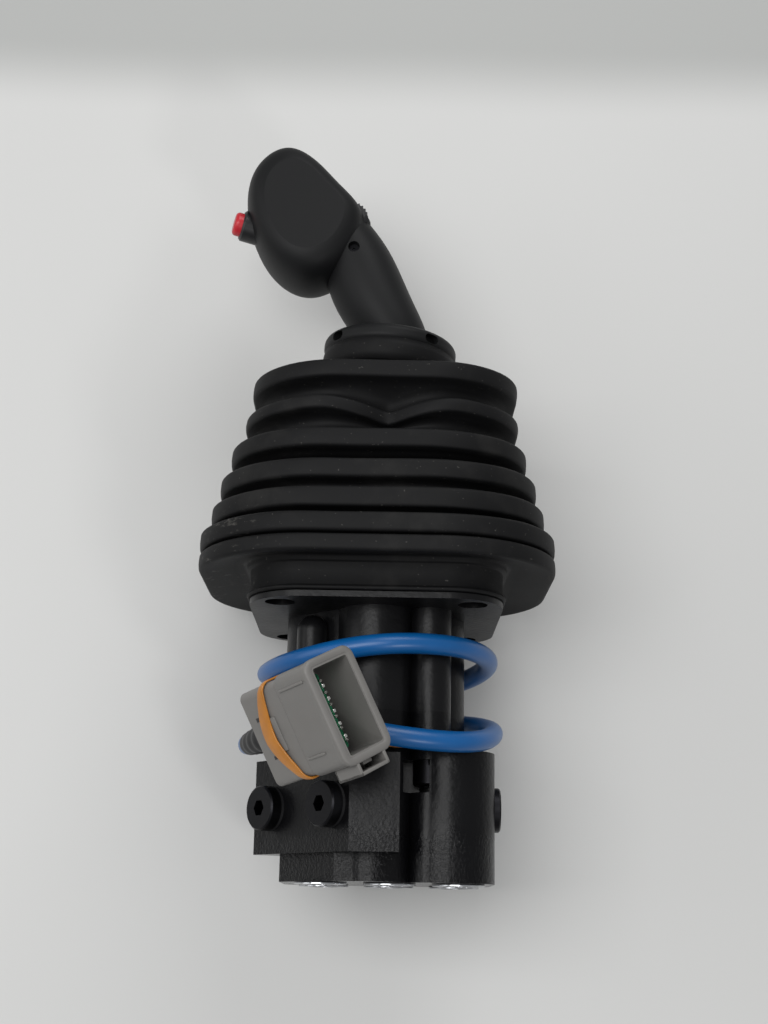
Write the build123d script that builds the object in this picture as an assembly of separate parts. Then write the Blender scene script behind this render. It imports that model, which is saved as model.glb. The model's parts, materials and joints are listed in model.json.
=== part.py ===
from build123d import *
import os
from math import atan2, cos, degrees, radians, sin, tan

# Hydraulic pilot joystick valve, in millimetres.
# The origin is the centre of the flange's seating face, +Z up along the valve's axis,
# +X towards the operator. The port block hangs below the panel, the lever stands above it.

# ---------------------------------------------------------------- driving dimensions
# Mounting flange and housing
FLANGE_WIDTH = 104.0
FLANGE_CORNER = 23.0
FLANGE_LIP = 2.4
FLANGE_THICKNESS = 10.0
FLANGE_REBATE = 3.4
BOLT_SPACING = 78.0
BOLT_HOLE_DIAMETER = 12.3
HOUSING_DEPTH = 42.4
HOUSING_TOP = 14.0
DECK_RADIUS = 38.0

# Cast column round the four plunger bores
STATION_RADIUS = 22.0
CORE_RADIUS = 30.0
LOBE_RADIUS = 15.8
RIB_CENTRE = (-26.2, -23.0)
RIB_RADIUS = 6.3
RIB_TOP_GAP = 2.2
BOSS_RADIUS = 8.6
CLAMP_SCREW_PLACE = (22.5, -24.5)

# Port block
BLOCK_HEIGHT = 67.0
BLOCK_CORNER = 8.0
SHOULDER_DEPTH = 57.6
BLOCK_LEFT = -37.5
BLOCK_HALF_DEPTH = 36.0
LOBE_CENTRE = (30.5, 15.5)
BLOCK_LOBE_RADIUS = 19.0
PLUG_FACE_ANGLE = 50.0
PLUG_FACE_PLACE = (-28.95, -25.2)
PLUG_FACE_LENGTH = 62.0
PLUG_FACE_STEP = 4.0
PLUG_SPACING = 39.7
PLUG_DEPTH = 80.4
PLUG_BOSS_TOP = -60.6
PLUG_BOSS_BOTTOM = -98.6
BOSS_FRONT = -48.5
BOSS_RIGHT = 10.5

# Ports: G1/4 parallel threads, drawn at the thread's minor diameter
PORT_DIAMETER = 11.8
PORT_DEPTH = 14.0
PORT_FACE_DIAMETER = 21.0
PORT_FACE_HEIGHT = 1.0
PORT_PITCH = 27.5
PORT_ROW_SPACING = 38.0
PORT_CENTRE_X = 7.2
SIDE_PORT_PLACE = (-8.0, -79.4)
SIDE_PORT_SPOTFACE = 3.5
PASSAGE_DIAMETER = 5.0

# Port plugs with a collar and a hexagon socket
PLUG_COLLAR = 18.0
PLUG_COLLAR_HEIGHT = 5.0
PLUG_SHANK_LENGTH = 12.0
PLUG_SOCKET = 6.0
SEAL_THICKNESS = 1.2

# Clamp screws, M8 socket head
POCKET_ROOF = -61.6
POCKET_LEFT = 12.0
CLAMP_THREAD = 8.0
CLAMP_HEAD = 13.0
CLAMP_HEAD_HEIGHT = 8.0
CLAMP_SOCKET = 6.0
CLAMP_REACH = 36.0
WASHER_THICKNESS = 2.0
POCKET_HEIGHT = 13.0

# Plunger stations
BUSH_DIAMETER = 20.0
BUSH_LENGTH = 26.0
PLUNGER_DIAMETER = 9.0
DOME_RADIUS = 5.0
PLUNGER_FOOT = -22.0
CHAMBER_DIAMETER = 17.0
CHAMBER_FLOOR = -60.0
SEAT_DIAMETER = 15.6
SEAT_THICKNESS = 4.0
SPOOL_DIAMETER = 8.0
SPOOL_FOOT = -88.0
SPOOL_SHOULDER = -46.0
SPOOL_HEAD = -38.0
SPOOL_STEM = 5.0
SPOOL_NECK = 6.0
SPOOL_RELIEF = 6.0
SPOOL_LANDS = ((-80.0, -76.0), (-71.0, -66.0))
STATION_PORTS = {"right": 5, "back": 3, "left": 0, "front": 2}
RING_SECTION = 1.8
RING_HEIGHT = -3.0
RETURN_WIRE = 1.6
RETURN_COIL = 13.0
RETURN_TURNS = 5
METERING_WIRE = 1.0
METERING_COIL = 7.6
METERING_TURNS = 5

# Retaining plate
PLATE_RADIUS = 36.0
PLATE_THICKNESS = 4.0
PLATE_SCREW_RADIUS = 29.0
PLATE_SCREW_THREAD = 5.0
PLATE_SCREW_HEAD = 9.6
PLATE_SCREW_REACH = 10.0
PLATE_SCREW_TURNS = (45, 135, 225, 315)
WIPER_DIAMETER = 14.0
WIPER_HEIGHT = 5.4

# Universal joint and cam plate
PIVOT_HEIGHT = 34.0
CAM_GAP = 0.9
POST_RADIUS = 9.0
EAR_INNER = 6.0
EAR_OUTER = 10.0
EAR_RADIUS = 5.5
JOINT_REACH = 10.0
PIN_DIAMETER = 4.0
CROSS_SIZE = 9.0
CAM_RADIUS = 28.0
CAM_BORE = 15.0
CAM_WALL = 4.0
CAM_DISC = 5.0
STUD_DIAMETER = 12.0
NUT_ACROSS_FLATS = 19.0
NUT_HEIGHT = 7.0

# Lever and collar: the rod is upright up to its bend and leans towards the operator above it
LEVER_RAKE = 4.0
BEND_HEIGHT = 66.0
ROD_DIAMETER = 12.0
ROD_SOCKET_DIAMETER = 18.0
ROD_TOP = 140.0
SPIGOT_RADIUS = 17.7
SPIGOT_BOTTOM = 113.5
COLLAR_HEIGHT = 118.6
COLLAR_THICKNESS = 8.0
COLLAR_DIAMETER = 59.2
COLLAR_SLOTS = 4
COLLAR_SLOT_ANGLE = 38.0
COLLAR_SLOT_LENGTH = 7.0
COLLAR_SLOT_WIDTH = 4.0
COLLAR_SLOT_DEPTH = 4.0

# Bellows: half width, underside and top of each fold, from the flange upwards
FOLDS = (
    (76.7, 14.6, 21.6),
    (76.3, 22.6, 30.6),
    (71.9, 33.6, 42.0),
    (68.4, 46.6, 54.6),
    (64.6, 60.6, 68.6),
    (59.9, 77.6, 83.6),
    (58.1, 92.6, 100.3),
)
FOLD_DEPTH_LOSS = 4.0
FOLD_CORNER_SHARE = 0.66
FOLD_ROUND = 2.6
FOLD_VALLEY = 9.0
BOOT_WALL = 2.0
SKIRT_WIDTH = 104.6
SKIRT_BOTTOM = 2.7
NECK_RADIUS = 20.0
NECK_BOTTOM = 112.0
NECK_TOP = 124.5

# Grip
HANDLE_SECTIONS = (
    (5.6, 128.0, 15.2, 15.6),
    (0.6, 138.0, 17.6, 17.0),
    (-5.2, 150.0, 18.0, 17.6),
    (-10.2, 163.0, 17.4, 17.6),
    (-15.8, 175.0, 16.6, 17.0),
    (-23.0, 187.0, 15.0, 15.5),
)
HEAD_OUTLINE = (
    (-27.0, 154.0),
    (-39.0, 153.6),
    (-49.6, 160.4),
    (-57.9, 173.0),
    (-62.6, 191.0),
    (-58.6, 210.0),
    (-45.0, 219.2),
    (-31.0, 212.6),
    (-19.0, 200.0),
    (-8.6, 186.0),
    (-12.0, 168.0),
)
HEAD_CENTRE = (-36.0, 186.0)
HEAD_SECTIONS = ((-21.5, 0.66), (-17.0, 0.88), (0.0, 1.0), (17.0, 0.88), (21.5, 0.66))
PANEL_SEAM = ((-58.0, 188.0), (-49.3, 181.6), (-45.0, 175.0), (-41.9, 161.7), (-39.6, 150.0))
COVER_SEAM = ((-47.0, 160.4), (-40.5, 158.6), (-32.6, 155.8), (-24.0, 149.0))
GRIP_SCREW_PLACE = (-13.0, 167.0)
GRIP_SCREW_BORE = 5.2
GRIP_SCREW_SEAT = 12.5
GRIP_SCREW_THREAD = 3.0
GRIP_SCREW_REACH = 8.0

# Finger controls
TRIGGER_PLACE = (-57.5, -4.0, 180.4)
TRIGGER_DIRECTION = (-0.95, -0.26, 0.17)
BEZEL_DIAMETER = 14.0
BEZEL_HEIGHT = 7.6
BEZEL_SINK = 8.0
BEZEL_CHAMFER = 0.8
BUTTON_DIAMETER = 10.8
BUTTON_PROUD = 3.6
BUTTON_TRAVEL = 2.0
PLATE_PLACE = (-14.6, 0.0, 193.6)
PLATE_SLOPE = 50.0
THUMB_PLATE = (27.0, 22.0, 3.0)
ROCKER_RADIUS = 8.0
ROCKER_WIDTH = 9.0
ROCKER_OFFSET = 4.4
ROCKER_PIN = 2.4
THUMB_BUTTON_DIAMETER = 7.0
THUMB_BUTTON_OFFSET = -8.0
THUMB_BUTTON_PROUD = 1.8
THUMB_BUTTON_TRAVEL = 1.2
THUMB_BUTTON_DEPTH = 4.0
THUMB_PLATE_CORNER = 4.0
PLATE_CLEAR = 12.0
ROCKER_SINK = 4.4
ROCKER_PIN_LENGTH = 14.0
ROCKER_RIDGE_PITCH = 14.0
ROCKER_RIDGE_DEPTH = 0.7

# Connector: twelve ways in two rows
CONNECTOR_PLACE = (-23.0, -72.0, -51.4)
MATING_DIRECTION = (0.57, -0.81, 0.12)
LONG_DIRECTION = (0.43, 0.17, -0.89)
CONNECTOR_LENGTH = 48.0
CONNECTOR_LONG = 38.5
CONNECTOR_SHORT = 21.0
CONNECTOR_CORNER = 3.0
SOCKET_DEPTH = 22.0
SOCKET_WALL = 2.2
PIN_PITCH = 4.8
ROW_PITCH = 6.0
PINS_PER_ROW = 6
CONTACT_DIAMETER = 1.5
CONTACT_PROUD = 9.0
WEDGE_PROUD = 5.0

# Connector's rear seal and the rubber band that ties the connector to the column
SEAL_RECESS = 5.0
SEAL_SLEEVE = 5.0
BAND_WIDTH = 5.0
BAND_THICKNESS = 1.0
BAND_PLACE = -7.0
COLUMN_BAND_HEIGHT = -54.0

# Cable: route as angle, distance from the axis and height of each corner
CABLE_DIAMETER = 8.4
CABLE_CENTRE_X = 1.0
CABLE_SWEEP_SHARE = 0.45
CABLE_ROUTE = (
    (135, 51.0, -15.0),
    (180, 50.5, -25.0),
    (225, 50.5, -23.4),
    (270, 50.5, -17.6),
    (315, 50.5, -16.0),
    (0, 50.5, -17.4),
    (45, 50.5, -21.4),
    (90, 50.5, -26.4),
    (135, 50.5, -31.6),
    (180, 50.5, -36.8),
    (225, 50.5, -42.4),
    (270, 53.0, -54.6),
    (315, 57.0, -56.4),
    (0, 52.0, -45.9),
    (45, 50.5, -38.4),
    (90, 50.5, -39.6),
    (135, 50.5, -45.6),
    (180, 51.0, -52.0),
)
CABLE_RUN_IN = 22.0
GLAND_PLACE = (8.0, 45.0)
GLAND_DIAMETER = 13.0
GLAND_SPOT_DIAMETER = 16.0
GLAND_SPOT_DEPTH = 0.5
GLAND_DROP = 10.4
GLAND_REACH = 13.0
GLAND_ARM = 10.4
GLAND_SPIGOT = 7.0

# Clearances
RUNNING_FIT = 0.03
SEAT_GAP = 0.3
SCREW_CLEARANCE = 0.5
RUBBER_GAP = 0.3

# ---------------------------------------------------------------- derived places
BLOCK_TOP = -HOUSING_DEPTH
BLOCK_BOTTOM = -(HOUSING_DEPTH + BLOCK_HEIGHT)
PLATE_TOP = HOUSING_TOP + PLATE_THICKNESS
BRIDGE_TOP = PIVOT_HEIGHT - JOINT_REACH
YOKE_BRIDGE = PIVOT_HEIGHT + JOINT_REACH
HUB_BOTTOM = YOKE_BRIDGE + 4.0
HUB_TOP = HUB_BOTTOM + CAM_DISC
STATIONS = {
    "right": (STATION_RADIUS, 0.0),
    "back": (0.0, STATION_RADIUS),
    "left": (-STATION_RADIUS, 0.0),
    "front": (0.0, -STATION_RADIUS),
}
CLAMP_SCREWS = (CLAMP_SCREW_PLACE, (-CLAMP_SCREW_PLACE[0], -CLAMP_SCREW_PLACE[1]))
NUT_TOP = HUB_TOP + NUT_HEIGHT

parts = {}


def tube(outer, inner, bottom, top):
    """A round tube standing on the axis, given its two diameters."""
    ring = Circle(outer / 2) - Circle(inner / 2)
    return Pos(0, 0, bottom) * extrude(ring, top - bottom)


def rod(diameter, bottom, top):
    """A round bar standing on the axis."""
    return Pos(0, 0, bottom) * extrude(Circle(diameter / 2), top - bottom)


def hexagon(across_flats):
    return RegularPolygon(across_flats / 2, 6, major_radius=False)


def socket_screw(thread, head, head_height, socket, reach):
    """A socket head screw, its seat at z = 0, its shank up and its socket facing down."""
    body = rod(head, -head_height, 0) + rod(thread, 0, reach)
    rim = body.edges().filter_by(GeomType.CIRCLE).group_by(Axis.Z)[0]
    body = chamfer(rim, head_height / 10)
    return body - Pos(0, 0, -head_height) * extrude(hexagon(socket), head_height * 0.55)


def column_plan():
    """The cast column: a core, a lobe round each bore and a boss for each clamp screw."""
    plan = Circle(CORE_RADIUS)
    for place in STATIONS.values():
        plan += Pos(*place) * Circle(LOBE_RADIUS)
    for place in CLAMP_SCREWS:
        plan += Pos(*place) * Circle(BOSS_RADIUS)
    return plan


def plug_face():
    """The machined face of the side ports: its Z points out of the block, its X down-valve left to right."""
    turn = radians(PLUG_FACE_ANGLE)
    place = (*PLUG_FACE_PLACE, -PLUG_DEPTH)
    return Plane(place, x_dir=(cos(turn), -sin(turn), 0), z_dir=(-sin(turn), -cos(turn), 0))


def plug_places():
    return [plug_face() * Pos(side * PLUG_SPACING / 2, 0, 0) for side in (-1, 1)]


def side_port():
    """The spotface of the port on the operator's side, its Z pointing out of the block."""
    place = (LOBE_CENTRE[0] + BLOCK_LOBE_RADIUS - SIDE_PORT_SPOTFACE, *SIDE_PORT_PLACE)
    return Plane(place, x_dir=(0, 1, 0), z_dir=(1, 0, 0))


def drill(start, end, diameter):
    """A round passage between two points."""
    axis = Vector(*end) - Vector(*start)
    return Plane(start, z_dir=axis) * extrude(Circle(diameter / 2), axis.length)


def port_places():
    """The six ports of the underside, two rows of three."""
    return [
        (PORT_CENTRE_X + column * PORT_PITCH, row * PORT_ROW_SPACING / 2)
        for row in (-1, 1)
        for column in (-1, 0, 1)
    ]


# ---------------------------------------------------------------- valve body
def make_housing():
    """Upper casting: column, flange with a rebate for the bellows, deck and four bush bores."""
    body = Pos(0, 0, BLOCK_TOP) * extrude(column_plan(), HOUSING_DEPTH)
    rib_top = -RIB_TOP_GAP - RIB_RADIUS
    body += Pos(*RIB_CENTRE) * rod(2 * RIB_RADIUS, BLOCK_TOP, rib_top)
    body += Pos(*RIB_CENTRE, rib_top) * Sphere(RIB_RADIUS)
    root = body.edges().group_by(Axis.Z)[-1]
    plan = RectangleRounded(FLANGE_WIDTH, FLANGE_WIDTH, FLANGE_CORNER)
    body += extrude(plan, FLANGE_LIP)
    body += extrude(offset(plan, -FLANGE_REBATE), FLANGE_THICKNESS)
    body += rod(2 * DECK_RADIUS, 0, HOUSING_TOP)
    for corner in GridLocations(BOLT_SPACING, BOLT_SPACING, 2, 2):
        body -= corner * rod(BOLT_HOLE_DIAMETER, 0, FLANGE_THICKNESS)
    bush = rod(BUSH_DIAMETER, HOUSING_TOP - BUSH_LENGTH, HOUSING_TOP)
    chamber = rod(CHAMBER_DIAMETER, BLOCK_TOP, HOUSING_TOP)
    for place in STATIONS.values():
        body -= Pos(*place) * (bush + chamber)
    body -= rod(STUD_DIAMETER, -JOINT_REACH, HOUSING_TOP)
    body -= Pos(*GLAND_PLACE) * rod(GLAND_SPIGOT, 0, FLANGE_THICKNESS)
    body -= Pos(*GLAND_PLACE) * rod(GLAND_SPOT_DIAMETER, 0, GLAND_SPOT_DEPTH)
    for place in CLAMP_SCREWS:
        body -= Pos(*place) * rod(CLAMP_THREAD, BLOCK_TOP, POCKET_ROOF + CLAMP_REACH)
    for turn in PLATE_SCREW_TURNS:
        body -= Rot(0, 0, turn) * Pos(PLATE_SCREW_RADIUS, 0) * rod(
            PLATE_SCREW_THREAD, HOUSING_TOP - PLATE_SCREW_REACH, HOUSING_TOP
        )
    return body


def make_port_block():
    """Lower casting: spool bores, six bottom ports, two side ports and the screw pockets."""
    block_width = BOSS_RIGHT - BLOCK_LEFT
    left = Pos(BLOCK_LEFT + block_width / 2, 0) * RectangleRounded(
        block_width, 2 * BLOCK_HALF_DEPTH, BLOCK_CORNER
    )
    lobes = Sketch() + [
        Pos(LOBE_CENTRE[0], side * LOBE_CENTRE[1]) * Circle(BLOCK_LOBE_RADIUS) for side in (-1, 1)
    ]
    bridge = Pos(LOBE_CENTRE[0], 0) * Rectangle(2 * BLOCK_LOBE_RADIUS, 2 * LOBE_CENTRE[1])
    plan = left + lobes + bridge + column_plan()
    body = Pos(0, 0, BLOCK_BOTTOM) * extrude(plan, BLOCK_HEIGHT - SHOULDER_DEPTH + HOUSING_DEPTH)
    beyond = 2 * PLUG_FACE_LENGTH
    body -= plug_face() * Pos(0, 0, beyond / 2 - PLUG_FACE_STEP) * Box(beyond, 4 * BLOCK_HEIGHT, beyond)
    body += Pos(0, 0, BLOCK_BOTTOM) * extrude(column_plan(), BLOCK_HEIGHT)
    body += make_plug_boss()
    for place in port_places():
        body += Pos(*place) * rod(PORT_FACE_DIAMETER, BLOCK_BOTTOM - PORT_FACE_HEIGHT, BLOCK_BOTTOM)
    for place in port_places():
        body -= Pos(*place) * rod(
            PORT_DIAMETER, BLOCK_BOTTOM - PORT_FACE_HEIGHT, BLOCK_BOTTOM + PORT_DEPTH
        )
    spool_bore = rod(SPOOL_DIAMETER + 2 * RUNNING_FIT, SPOOL_FOOT - SPOOL_RELIEF, BLOCK_TOP)
    chamber = rod(CHAMBER_DIAMETER, CHAMBER_FLOOR, BLOCK_TOP)
    for place in STATIONS.values():
        body -= Pos(*place) * (spool_bore + chamber)
    for name, port in STATION_PORTS.items():
        foot = (*port_places()[port], BLOCK_BOTTOM + PORT_DEPTH)
        body -= drill(foot, (*STATIONS[name], SPOOL_FOOT), PASSAGE_DIAMETER)
    for place in plug_places():
        body -= place * rod(PORT_DIAMETER, -PORT_DEPTH, 0)
    body -= side_port() * rod(PLUG_COLLAR + 2 * SCREW_CLEARANCE, 0, 2 * SIDE_PORT_SPOTFACE)
    body -= side_port() * rod(PORT_DIAMETER, -PORT_DEPTH, 0)
    for turn in (0, 180):
        body -= Rot(0, 0, turn) * screw_pocket()
    return body


def make_plug_boss():
    """The boss that carries the side ports, square to its machined face."""
    face = plug_face()
    half = PLUG_FACE_LENGTH / 2
    near = face.from_local_coords((half, 0, 0))
    far = face.from_local_coords((-half, 0, 0))
    plan = make_face(
        Polyline(
            (near.X, near.Y),
            (BOSS_RIGHT, BOSS_FRONT),
            (BOSS_RIGHT, 0),
            (BLOCK_LEFT / 2, -BLOCK_LEFT / 2),
            (far.X, far.Y),
            close=True,
        )
    )
    height = PLUG_BOSS_TOP - PLUG_BOSS_BOTTOM
    boss = Pos(0, 0, PLUG_BOSS_BOTTOM) * extrude(plan, height)
    return boss


def screw_pocket():
    """The pocket for a clamp screw's head, open to the side, with its clearance hole above."""
    x, y = CLAMP_SCREW_PLACE
    pocket = Pos(x, y) * rod(CLAMP_HEAD + 4 * SCREW_CLEARANCE, POCKET_ROOF - POCKET_HEIGHT, POCKET_ROOF)
    width = x - POCKET_LEFT
    pocket += Pos(x - width / 2, y - width, POCKET_ROOF - POCKET_HEIGHT / 2) * Box(
        width, 2 * width + CLAMP_HEAD, POCKET_HEIGHT
    )
    return pocket + Pos(x, y) * rod(CLAMP_THREAD + 2 * SCREW_CLEARANCE, POCKET_ROOF, BLOCK_TOP)


def make_plugs():
    """Collared hexagon-socket plugs for the side ports, each on its seal."""
    plug = rod(PLUG_COLLAR, SEAL_THICKNESS, SEAL_THICKNESS + PLUG_COLLAR_HEIGHT)
    plug = chamfer(plug.edges().group_by(Axis.Z)[-1], PLUG_COLLAR_HEIGHT / 8)
    plug += rod(PORT_DIAMETER, SEAL_THICKNESS - PLUG_SHANK_LENGTH, SEAL_THICKNESS)
    socket_depth = PLUG_COLLAR_HEIGHT + PLUG_SOCKET / 3
    plug -= Pos(0, 0, SEAL_THICKNESS + PLUG_COLLAR_HEIGHT - socket_depth) * extrude(
        hexagon(PLUG_SOCKET), socket_depth
    )
    seal = tube(PLUG_COLLAR, PORT_DIAMETER, 0, SEAL_THICKNESS)
    places = plug_places() + [side_port() * Pos(0, 0, 0)]
    return [place * plug for place in places], [place * seal for place in places]


def make_clamp_screws():
    """The two screws that hold the port block to the housing, with split lock washers."""
    screw = socket_screw(CLAMP_THREAD, CLAMP_HEAD, CLAMP_HEAD_HEIGHT, CLAMP_SOCKET, CLAMP_REACH)
    washer = tube(CLAMP_HEAD, CLAMP_THREAD + SCREW_CLEARANCE, 0, WASHER_THICKNESS)
    washer -= Pos(CLAMP_HEAD / 2, 0, WASHER_THICKNESS / 2) * Rot(0, 0, 25) * Box(
        CLAMP_HEAD, WASHER_THICKNESS / 2, 2 * WASHER_THICKNESS
    )
    seat = POCKET_ROOF - WASHER_THICKNESS
    screws = [Pos(*place, seat) * screw for place in CLAMP_SCREWS]
    washers = [Pos(*place, seat) * Rot(0, 0, -90) * washer for place in CLAMP_SCREWS]
    return screws, washers


# ---------------------------------------------------------------- plunger stations
def make_bush():
    """A guide bush with a groove for its ring seal."""
    bottom = HOUSING_TOP - BUSH_LENGTH
    bush = tube(BUSH_DIAMETER, PLUNGER_DIAMETER + 2 * RUNNING_FIT, bottom, HOUSING_TOP)
    groove = tube(
        BUSH_DIAMETER + RING_SECTION,
        BUSH_DIAMETER - 2 * RING_SECTION,
        RING_HEIGHT - RING_SECTION / 2,
        RING_HEIGHT + RING_SECTION / 2,
    )
    return bush - groove


def make_ring_seal():
    return Pos(0, 0, RING_HEIGHT) * Torus((BUSH_DIAMETER - RING_SECTION) / 2, RING_SECTION / 2)


def make_wiper():
    """The rubber wiper round a plunger, standing through the retaining plate on its bush."""
    lip = tube(WIPER_DIAMETER, PLUNGER_DIAMETER + 4 * RUNNING_FIT, HOUSING_TOP, HOUSING_TOP + WIPER_HEIGHT)
    return chamfer(lip.edges().group_by(Axis.Z)[-1].sort_by(SortBy.LENGTH)[-1], WIPER_HEIGHT / 5)


def make_plunger():
    """A push rod with a domed head that the cam plate bears on."""
    top = PIVOT_HEIGHT - CAM_GAP
    dome = Pos(0, 0, top - DOME_RADIUS) * Sphere(DOME_RADIUS)
    head = dome & rod(PLUNGER_DIAMETER, top - DOME_RADIUS, top)
    return rod(PLUNGER_DIAMETER, PLUNGER_FOOT, top - DOME_RADIUS) + head


def make_spring_seat():
    """The flanged seat under a plunger, with a spigot inside the return spring."""
    spigot = RETURN_COIL - RETURN_WIRE - SCREW_CLEARANCE
    bottom = PLUNGER_FOOT - SEAT_THICKNESS
    seat = rod(SEAT_DIAMETER, bottom, PLUNGER_FOOT)
    seat += rod(spigot, bottom - SEAT_THICKNESS / 2, bottom)
    bore = SPOOL_STEM + 2 * SCREW_CLEARANCE
    return seat - rod(bore, bottom - SEAT_THICKNESS / 2, bottom + SEAT_THICKNESS / 2)


def make_spool():
    """A pressure reducing spool: lands, metering necks, a spring shoulder and a stem."""
    spool = rod(SPOOL_DIAMETER, SPOOL_FOOT, SPOOL_SHOULDER)
    for bottom, top in SPOOL_LANDS:
        spool -= tube(SPOOL_DIAMETER + 1, SPOOL_NECK, bottom, top)
    return spool + rod(SPOOL_STEM, SPOOL_SHOULDER, SPOOL_HEAD)


def make_spring(wire, coil, turns, bottom, top):
    """A round-wire compression spring between two seats."""
    rise = top - bottom - wire - 2 * RUNNING_FIT
    path = Helix(rise / turns, rise, coil / 2)
    start = Plane(path @ 0, z_dir=path % 0)
    return Pos(0, 0, bottom + wire / 2 + RUNNING_FIT) * sweep(start * Circle(wire / 2), path, is_frenet=True)


def make_stations():
    """Every piece of the four stations, placed round the axis and named by its side."""
    seat_bottom = PLUNGER_FOOT - SEAT_THICKNESS
    moving = {
        "plunger": make_plunger(),
        "spring_seat": make_spring_seat(),
        "spool": make_spool(),
        "return_spring": make_spring(RETURN_WIRE, RETURN_COIL, RETURN_TURNS, CHAMBER_FLOOR, seat_bottom),
        "metering_spring": make_spring(
            METERING_WIRE, METERING_COIL, METERING_TURNS, SPOOL_SHOULDER, seat_bottom - SEAT_THICKNESS / 2
        ),
    }
    for side, place in STATIONS.items():
        for piece, solid in moving.items():
            parts[f"{piece}_{side}"] = [Pos(*place) * solid]
    fixed = {
        "plunger_bushes": make_bush(),
        "bush_ring_seals": make_ring_seal(),
        "plunger_wipers": make_wiper(),
    }
    for name, solid in fixed.items():
        parts[name] = [Pos(*place) * solid for place in STATIONS.values()]


def make_retaining_plate():
    """The plate that keeps the bushes down, with countersunk screws clear of the cam plate."""
    plate = rod(2 * PLATE_RADIUS, HOUSING_TOP, PLATE_TOP) - rod(STUD_DIAMETER, HOUSING_TOP, PLATE_TOP)
    for place in STATIONS.values():
        plate -= Pos(*place) * rod(WIPER_DIAMETER + 2 * RUNNING_FIT, HOUSING_TOP, PLATE_TOP)
    sink = (PLATE_SCREW_HEAD - PLATE_SCREW_THREAD) / 2
    head = Pos(0, 0, PLATE_TOP - sink / 2) * Cone(PLATE_SCREW_THREAD / 2, PLATE_SCREW_HEAD / 2, sink)
    screw = head + rod(PLATE_SCREW_THREAD, HOUSING_TOP - PLATE_SCREW_REACH, PLATE_TOP - sink)
    hole = head + rod(PLATE_SCREW_THREAD + SCREW_CLEARANCE, HOUSING_TOP, PLATE_TOP - sink / 2)
    slot = Pos(0, 0, PLATE_TOP) * Box(PLATE_SCREW_HEAD, 1.2, 2.4)
    screws = []
    for turn in PLATE_SCREW_TURNS:
        place = Rot(0, 0, turn) * Pos(PLATE_SCREW_RADIUS, 0)
        plate -= place * hole
        screws.append(place * (screw - slot))
    return plate, screws


# ---------------------------------------------------------------- universal joint
def ear(side, length):
    """One ear of a fork, pointing up to a pin along X, its round end on the origin."""
    width = EAR_OUTER - EAR_INNER
    arm = Pos(side * (EAR_INNER + width / 2), 0, -length / 2) * Box(width, 2 * EAR_RADIUS, length)
    arm += Pos(side * (EAR_INNER + width / 2), 0, 0) * Rot(0, 90, 0) * Cylinder(EAR_RADIUS, width)
    bore = Pos(side * (EAR_INNER + width / 2), 0, 0) * Rot(0, 90, 0) * Cylinder(
        PIN_DIAMETER / 2 + RUNNING_FIT, 2 * width
    )
    return arm - bore


def make_joint():
    """The universal joint: a post in the housing, a cross, and the yoke that carries the lever."""
    post = rod(STUD_DIAMETER, HOUSING_TOP - JOINT_REACH, PLATE_TOP)
    post += rod(2 * EAR_OUTER + 1, PLATE_TOP, BRIDGE_TOP)
    yoke = rod(2 * EAR_OUTER + 1, YOKE_BRIDGE, HUB_BOTTOM)
    yoke += rod(STUD_DIAMETER, HUB_BOTTOM, BEND_HEIGHT)
    for side in (-1, 1):
        post += Pos(0, 0, PIVOT_HEIGHT) * ear(side, JOINT_REACH)
        yoke += Pos(0, 0, PIVOT_HEIGHT) * Rot(180, 0, 90) * ear(side, JOINT_REACH)
    cross = Box(CROSS_SIZE, CROSS_SIZE, CROSS_SIZE)
    cross += Rot(0, 90, 0) * Cylinder(PIN_DIAMETER / 2, 2 * EAR_OUTER)
    cross += Rot(90, 0, 0) * Cylinder(PIN_DIAMETER / 2, 2 * EAR_OUTER)
    return post, Pos(0, 0, PIVOT_HEIGHT) * cross, yoke


def make_cam_plate():
    """The bell-shaped plate that presses the plungers, clear of the joint inside it."""
    profile = make_face(
        Polyline(
            (STUD_DIAMETER / 2 + RUNNING_FIT, HUB_BOTTOM),
            (CAM_BORE, HUB_BOTTOM),
            (CAM_BORE, PIVOT_HEIGHT),
            (CAM_RADIUS, PIVOT_HEIGHT),
            (CAM_RADIUS, PIVOT_HEIGHT + CAM_DISC),
            (CAM_BORE + CAM_WALL, PIVOT_HEIGHT + CAM_DISC),
            (CAM_BORE + CAM_WALL, HUB_TOP),
            (STUD_DIAMETER / 2 + RUNNING_FIT, HUB_TOP),
            close=True,
        )
    )
    return revolve(Plane.XZ * profile, Axis.Z)


def on_lever(height):
    """A place on the leaning part of the lever, at about the given height."""
    return Pos(0, 0, BEND_HEIGHT) * Rot(0, LEVER_RAKE, 0) * Pos(0, 0, height - BEND_HEIGHT)


def make_lever():
    """The lever rod: a socket on the yoke's stud, a bend and the leaning bar in the grip."""
    socket = rod(ROD_SOCKET_DIAMETER, NUT_TOP, BEND_HEIGHT + ROD_DIAMETER / 2)
    bar = on_lever(BEND_HEIGHT) * rod(ROD_DIAMETER, 0, ROD_TOP - BEND_HEIGHT)
    hollow = rod(STUD_DIAMETER + 2 * RUNNING_FIT, NUT_TOP, BEND_HEIGHT)
    nut = Pos(0, 0, HUB_TOP) * extrude(hexagon(NUT_ACROSS_FLATS), NUT_HEIGHT)
    nut -= rod(STUD_DIAMETER + 2 * RUNNING_FIT, HUB_TOP, NUT_TOP)
    return socket + (bar - hollow) - hollow, nut


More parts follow.
